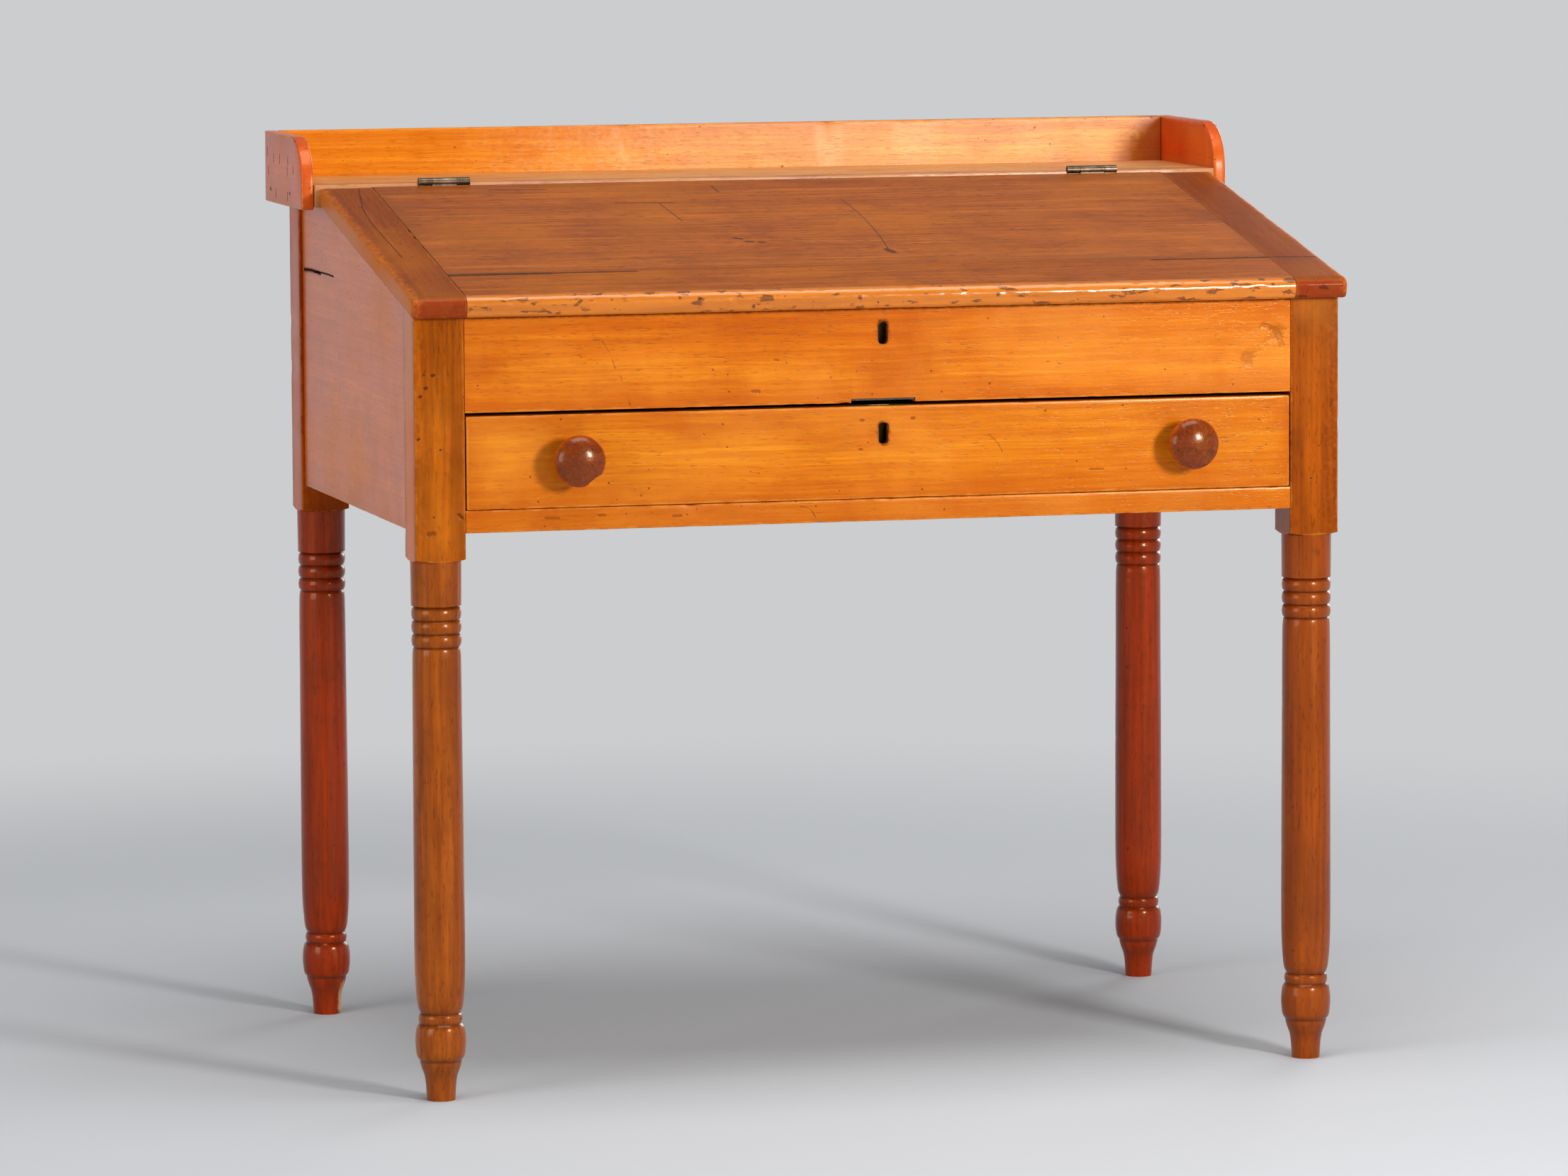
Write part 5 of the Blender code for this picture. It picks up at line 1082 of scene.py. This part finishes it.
def legHead(node, look, seed):
    # The square head of a leg, cut off where the turning starts
    form = cadForm(node)
    cut = bmesh.ops.bisect_plane(form, geom=everything(form), dist=formRules["cut"],
                                 plane_co=(0, 0, legShape["bottom"]), plane_no=(0, 0, 1), clear_inner=True)
    rim = [item for item in cut["geom_cut"] if isinstance(item, bmesh.types.BMEdge)]
    bmesh.ops.contextual_create(form, geom=rim)
    low, high = formBox(form)
    sliceForm(form, 2, evenly(low.z, high.z, legShape["slice"]))
    for axis in (0, 1):
        sliceForm(form, axis, (low[axis] + legShape["border"], high[axis] - legShape["border"]))
    wornArrises(form, low, high, legShape["wear"], legShape["round"], seed)
    shadeForm(form, "board")
    outer, middle = low.x if low.x + high.x < 0 else high.x, (low.y + high.y) / 2
    # Painted sheen: the outer side face of the head is coloured lighter
    paintedSheen = mark((outer, middle, low.z), (outer, middle, high.z), legShape["sheenWidth"],
                 legShape["sheenWeight"], look["paintedSheen"])
    finish = woodFinish(node + "Finish", {**look, **headLook, "low": low, "high": high,
                                          "marks": [paintedSheen] + look.get("marks", [])})
    addPiece(node + ".head", formMesh(node + ".head", form), finish, node)


def turning(node, axis, top, shape, finish, seed):
    low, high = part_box(node)
    centre = (low + high) / 2
    line = smoothLine(turnedLevels(node, axis, centre, top), shape["step"], shape["corner"])
    mesh = turnedMesh(node + ".turning", line, axis, centre, finish, shape["facets"])
    dentMesh(mesh, centre, axis, shape["dent"], seed)
    return mesh


for node, (look, shift, seed) in legRows.items():
    look = {**look, "shift": shift}
    legHead(node, look, seed)
    finish = woodFinish(node + "TurnedFinish", {**look, **look["turned"], **turnedLook})
    mesh = turning(node, 2, legShape["bottom"] + legShape["slack"], legShape, finish, seed)
    addPiece(node + ".turning", mesh, finish, node)
print("legs:", len(legRows))

knobLook = {**shellac, "grain": "y", "light": rgb(0.80, 0.140, 0.006), "mid": rgb(0.58, 0.078, 0.003),
            "dark": rgb(0.12, 0.017, 0.003), "pore": rgb(0.025, 0.007, 0.003), "worn": rgb(0.52, 0.110, 0.012),
            "rough": 0.22, "dulling": 0.05, "coat": 0.3, "coatRough": 0.13, "specular": 0.28, "hollow": 0.6,
            "patchScale": 20.0, "ripple": 0.0002}
knobShape = {"step": 0.0008, "corner": math.radians(35), "facets": 72, "dent": 0.00025, "slack": 0.001}
knobBite = {"side": 0.0209, "depth": 0.011, "drop": -0.0299, "radius": 0.0170}
for node, seed in (("knob_left", 71), ("knob_right", 73)):
    low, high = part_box(node)
    centre = (low + high) / 2
    finish = woodFinish(node + "Finish", {**knobLook, "shift": (seed * 0.13, 0.2, 0.4)})
    mesh = turning(node, 1, high.y + knobShape["slack"], knobShape, finish, seed)
    if node == "knob_left":
        bite = Vector((centre.x + knobBite["side"], low.y + knobBite["depth"], centre.z + knobBite["drop"]))
        for vert in mesh.vertices:
            away = vert.co - bite
            if away.length < knobBite["radius"]:
                vert.co = bite + away.normalized() * knobBite["radius"]
    addPiece(node + ".turning", mesh, finish, node)
print("knobs: 2")

# Iron and brass

darkIron = {"patchScale": 40.0, "pitDensity": 420.0, "fineScale": 260.0, "dark": rgb(0.030, 0.024, 0.020),
            "mid": rgb(0.085, 0.068, 0.056), "bright": rgb(0.24, 0.20, 0.17), "rub": 0.5, "rust": 0.45,
            "rustColour": rgb(0.13, 0.045, 0.018), "rough": 0.34, "metal": 0.85}
dullBrass = {**darkIron, "dark": rgb(0.20, 0.115, 0.035), "mid": rgb(0.36, 0.225, 0.075),
             "bright": rgb(0.58, 0.40, 0.16), "rust": 0.35, "rustColour": rgb(0.07, 0.045, 0.020), "rough": 0.28}
bronze = {**darkIron, "dark": rgb(0.06, 0.040, 0.024), "mid": rgb(0.15, 0.100, 0.062),
          "bright": rgb(0.34, 0.24, 0.15), "rough": 0.22, "rust": 0.3}
# Painted shade on the lock cases, behind the keyholes
lockHoleShade = [{"start": (0, face + 0.008, level + keyholeHalf), "end": (0, face + 0.008, level - keyholeHalf),
              "width": 0.018, "colour": rgb(0.004, 0.003, 0.003)}
             for face, level in ((panelFace, lidKeyhole), (drawerFace, drawerKeyhole))]
ironFinish = metalFinish("darkIron", darkIron)
brassFinish = metalFinish("dullBrass", dullBrass)
lockFinish = metalFinish("lockBrass", {**dullBrass, "holes": lockHoleShade})
bronzeFinish = metalFinish("hingeBronze", bronze)
strikeFinish = metalFinish("strikeIron", {**darkIron, "rub": 0.15, "rough": 0.5, "metal": 0.6})
plates = {
    "lid_lock_case": lockFinish, "drawer_lock_case": lockFinish, "lid_lock_link_plate": brassFinish,
    "drawer_lock_strike": strikeFinish, "drawer_lock_bolt": ironFinish, "lid_lock_bolt": ironFinish,
    "hinge_left_shelf_leaf": bronzeFinish, "hinge_right_shelf_leaf": bronzeFinish,
    "hinge_left_lid_leaf": bronzeFinish, "hinge_right_lid_leaf": bronzeFinish,
    "hinge_left_pin": ironFinish, "hinge_right_pin": ironFinish,
}
for node, finish in plates.items():
    form = cadForm(node)
    shadeForm(form, "metal")
    addPiece(node + ".metal", formMesh(node + ".metal", form), finish, node)
print("metal pieces:", len(plates))

screwHead = {"Width": 0.0062, "Length": 0.0062, "Height": 0.0022, "Sides": 32, "Slot Width": 0.0009,
             "Slot Depth": 0.0008, "Finish": ironFinish}
screwTwist = {"first": 0.3, "step": 0.7}


def growHeads(name, rows, head):
    seed = bpy.data.meshes.new(name + "Points")
    seed.from_pydata([place for place, facing, twist in rows], [], [])
    facings = seed.attributes.new("facing", "FLOAT_VECTOR", "POINT")
    facings.data.foreach_set("vector", [value for place, facing, twist in rows for value in facing])
    twists = seed.attributes.new("twist", "FLOAT", "POINT")
    twists.data.foreach_set("value", [twist for place, facing, twist in rows])
    return grow(name, seed, fastenerHeads, head)


for part, outward in (("shelf", -1), ("lid", 1)):
    stands = [node for node in nodes if "_" + part + "_screw_" in node]
    rows = []
    for index, node in enumerate(stands):
        low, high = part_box(node)
        place = (low + high) / 2
        place.y = low.y if outward < 0 else high.y
        rows.append((place, (0, outward, 0), screwTwist["step"] * index + screwTwist["first"]))
    addPiece("hinge_screws_" + part, growHeads("hinge_screws_" + part, rows, screwHead), ironFinish, *stands)
print("hinge screws: 8")

nailHead = {"Width": 0.0042, "Length": 0.0056, "Height": 0.0020, "Sides": 4, "Slot Width": 0.0002,
            "Slot Depth": 0.00005, "Finish": ironFinish}
nailPlace = {"proud": 0.00025, "twist": 0.785, "spread": 0.5, "scale": 40}


def rowOfNails(start, end, count, facing):
    rows = []
    for index in range(count):
        place = Vector(start).lerp(Vector(end), index / (count - 1)) + Vector(facing) * nailPlace["proud"]
        twist = nailPlace["twist"] + nailPlace["spread"] * noise.noise(place * nailPlace["scale"])
        rows.append((place, facing, twist))
    return rows


shelfLow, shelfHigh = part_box("pen_shelf")
shelfLevel = (shelfLow.z + shelfHigh.z) / 2
caseNails = rowOfNails((-0.38, galleryHigh.y, shelfLevel), (0.38, galleryHigh.y, shelfLevel), 5, (0, 1, 0))
for side in (-1, 1):
    across = -side * endLow.x
    caseNails += rowOfNails((across, endLow.y + 0.06, shelfLevel), (across, endHigh.y - 0.03, shelfLevel), 2,
                            (side, 0, 0))
for node in ("well_cleat_left", "well_cleat_right"):
    low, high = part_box(node)
    middle = (low.x + high.x) / 2
    caseNails += rowOfNails((middle, low.y + 0.05, wellFace), (middle, high.y - 0.05, wellFace), 4, (0, 0, 1))
low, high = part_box("drawer_back")
middle, under = (low.y + high.y) / 2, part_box("drawer_bottom")[0].z
drawerNails = rowOfNails((-0.3, middle, under), (0.3, middle, under), 5, (0, 0, -1))
for body, rows in (("case", caseNails), ("drawer", drawerNails)):
    nails = addObject("cut_nails_" + body, growHeads("cut_nails_" + body, rows, nailHead))
    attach(nails, body)
print("cut nails:", len(caseNails) + len(drawerNails))

# Room, light and camera

cove = {"floorRadius": 11.0, "bend": 2.0, "height": 4.0, "facets": 96, "bendSteps": 14,
        "tint": rgb(0.60, 0.61, 0.625), "rough": 0.9, "specular": 0.1, "glowFrom": 1.0, "glowTo": 2.6}


def coveRing(form, radius, level):
    turns = [2 * math.pi * index / cove["facets"] for index in range(cove["facets"])]
    return [form.verts.new((radius * math.cos(turn), radius * math.sin(turn), level)) for turn in turns]


def buildCove():
    # A round floor that bends up into a wall
    rows = [(0.0001, 0.0), (cove["floorRadius"] * 0.4, 0.0), (cove["floorRadius"], 0.0)]
    for step in range(1, cove["bendSteps"] + 1):
        turn = math.pi / 2 * step / cove["bendSteps"]
        rows.append((cove["floorRadius"] + cove["bend"] * math.sin(turn), cove["bend"] * (1 - math.cos(turn))))
    rows.append((cove["floorRadius"] + cove["bend"], cove["height"]))
    form = bmesh.new()
    rings = [coveRing(form, radius, level) for radius, level in rows]
    bridgeRings(form, rings[::-1])
    form.faces.new(rings[0])
    shadeForm(form, "cove")
    return formMesh("cove", form)


def coveFinish():
    # Lit like plain paper near the desk, and evenly bright where the camera sees the wall
    material, web, shader, place = newFinish("coveFinish")
    web.link(cove["tint"], shader["Base Color"])
    web.link(cove["rough"], shader["Roughness"])
    web.link(cove["specular"], shader["Specular IOR Level"])
    glow = web.add("ShaderNodeEmission", {"Color": cove["tint"], "Strength": 1.0})[0]
    rays = web.add("ShaderNodeLightPath")
    seen = web.math("MAXIMUM", rays["Is Glossy Ray"], rays["Is Transmission Ray"])
    seen = web.math("MAXIMUM", rays["Is Camera Ray"], seen)
    axes = web.split(place)
    square = web.plus(web.math("POWER", axes["X"], 2.0), web.math("POWER", axes["Y"], 2.0))
    atWall = web.times(web.fade(web.math("SQRT", square), cove["glowFrom"], cove["glowTo"]), seen)
    paper = web.tree.nodes["Principled BSDF"].outputs[0]
    blend = web.add("ShaderNodeMixShader", {0: atWall, 1: paper, 2: glow})[0]
    web.link(blend, web.tree.nodes["Material Output"].inputs["Surface"])
    return material


coveMesh = buildCove()
coveMesh.materials.append(coveFinish())
addObject("cove", coveMesh)

lamps = {
    "keySoftbox": {"place": (1.30, -3.0, 1.30), "aim": (0.2, 0.0, 1.10), "wide": 0.5, "tall": 0.6, "power": 75.0},
    "fillSoftbox": {"place": (-3.7, -1.9, 1.4), "aim": (0.0, 0.0, 0.7), "wide": 1.8, "tall": 2.0, "power": 50.0},
    "topSoftbox": {"place": (0.1, -0.6, 3.4), "aim": (0.0, 0.1, 0.7), "wide": 2.4, "tall": 1.8, "power": 66.0},
    "backSoftbox": {"place": (2.9, 3.3, 1.5), "aim": (0.0, 0.0, 0.7), "wide": 1.8, "tall": 1.8, "power": 45.0},
}
for name, lamp in lamps.items():
    light = bpy.data.lights.new(name, "AREA")
    light.shape = "RECTANGLE"
    light.size = lamp["wide"]
    light.size_y = lamp["tall"]
    light.energy = lamp["power"]
    holder = addObject(name, light)
    holder.location = lamp["place"]
    holder.rotation_euler = (Vector(lamp["aim"]) - Vector(lamp["place"])).to_track_quat("-Z", "Y").to_euler()
    holder.visible_camera = False

world = bpy.data.worlds.new("studio")
scene.world = world
world.use_nodes = True
backdrop = world.node_tree.nodes["Background"]
backdrop.inputs["Color"].default_value = rgb(0.86, 0.93, 1.0)
backdrop.inputs["Strength"].default_value = 0.22

photoCamera = {"lens": 178.18, "sensor": 36.0, "place": (-1.9713, -7.3984, 1.2425),
               "pan": -0.2574, "tilt": -0.1032, "roll": 0.0058}
camera = bpy.data.cameras.new("photoCamera")
camera.sensor_width = photoCamera["sensor"]
camera.lens = photoCamera["lens"]
cameraHolder = addObject("photoCamera", camera)
cameraTurn = (Matrix.Rotation(photoCamera["pan"], 4, "Z") @ Matrix.Rotation(photoCamera["tilt"], 4, "X")
              @ Matrix.Rotation(photoCamera["roll"], 4, "Y") @ Matrix.Rotation(math.pi / 2, 4, "X"))
cameraHolder.matrix_world = Matrix.Translation(photoCamera["place"]) @ cameraTurn
scene.camera = cameraHolder
scene.view_settings.view_transform = "Standard"
print("stage: cove,", len(lamps), "softboxes, camera")
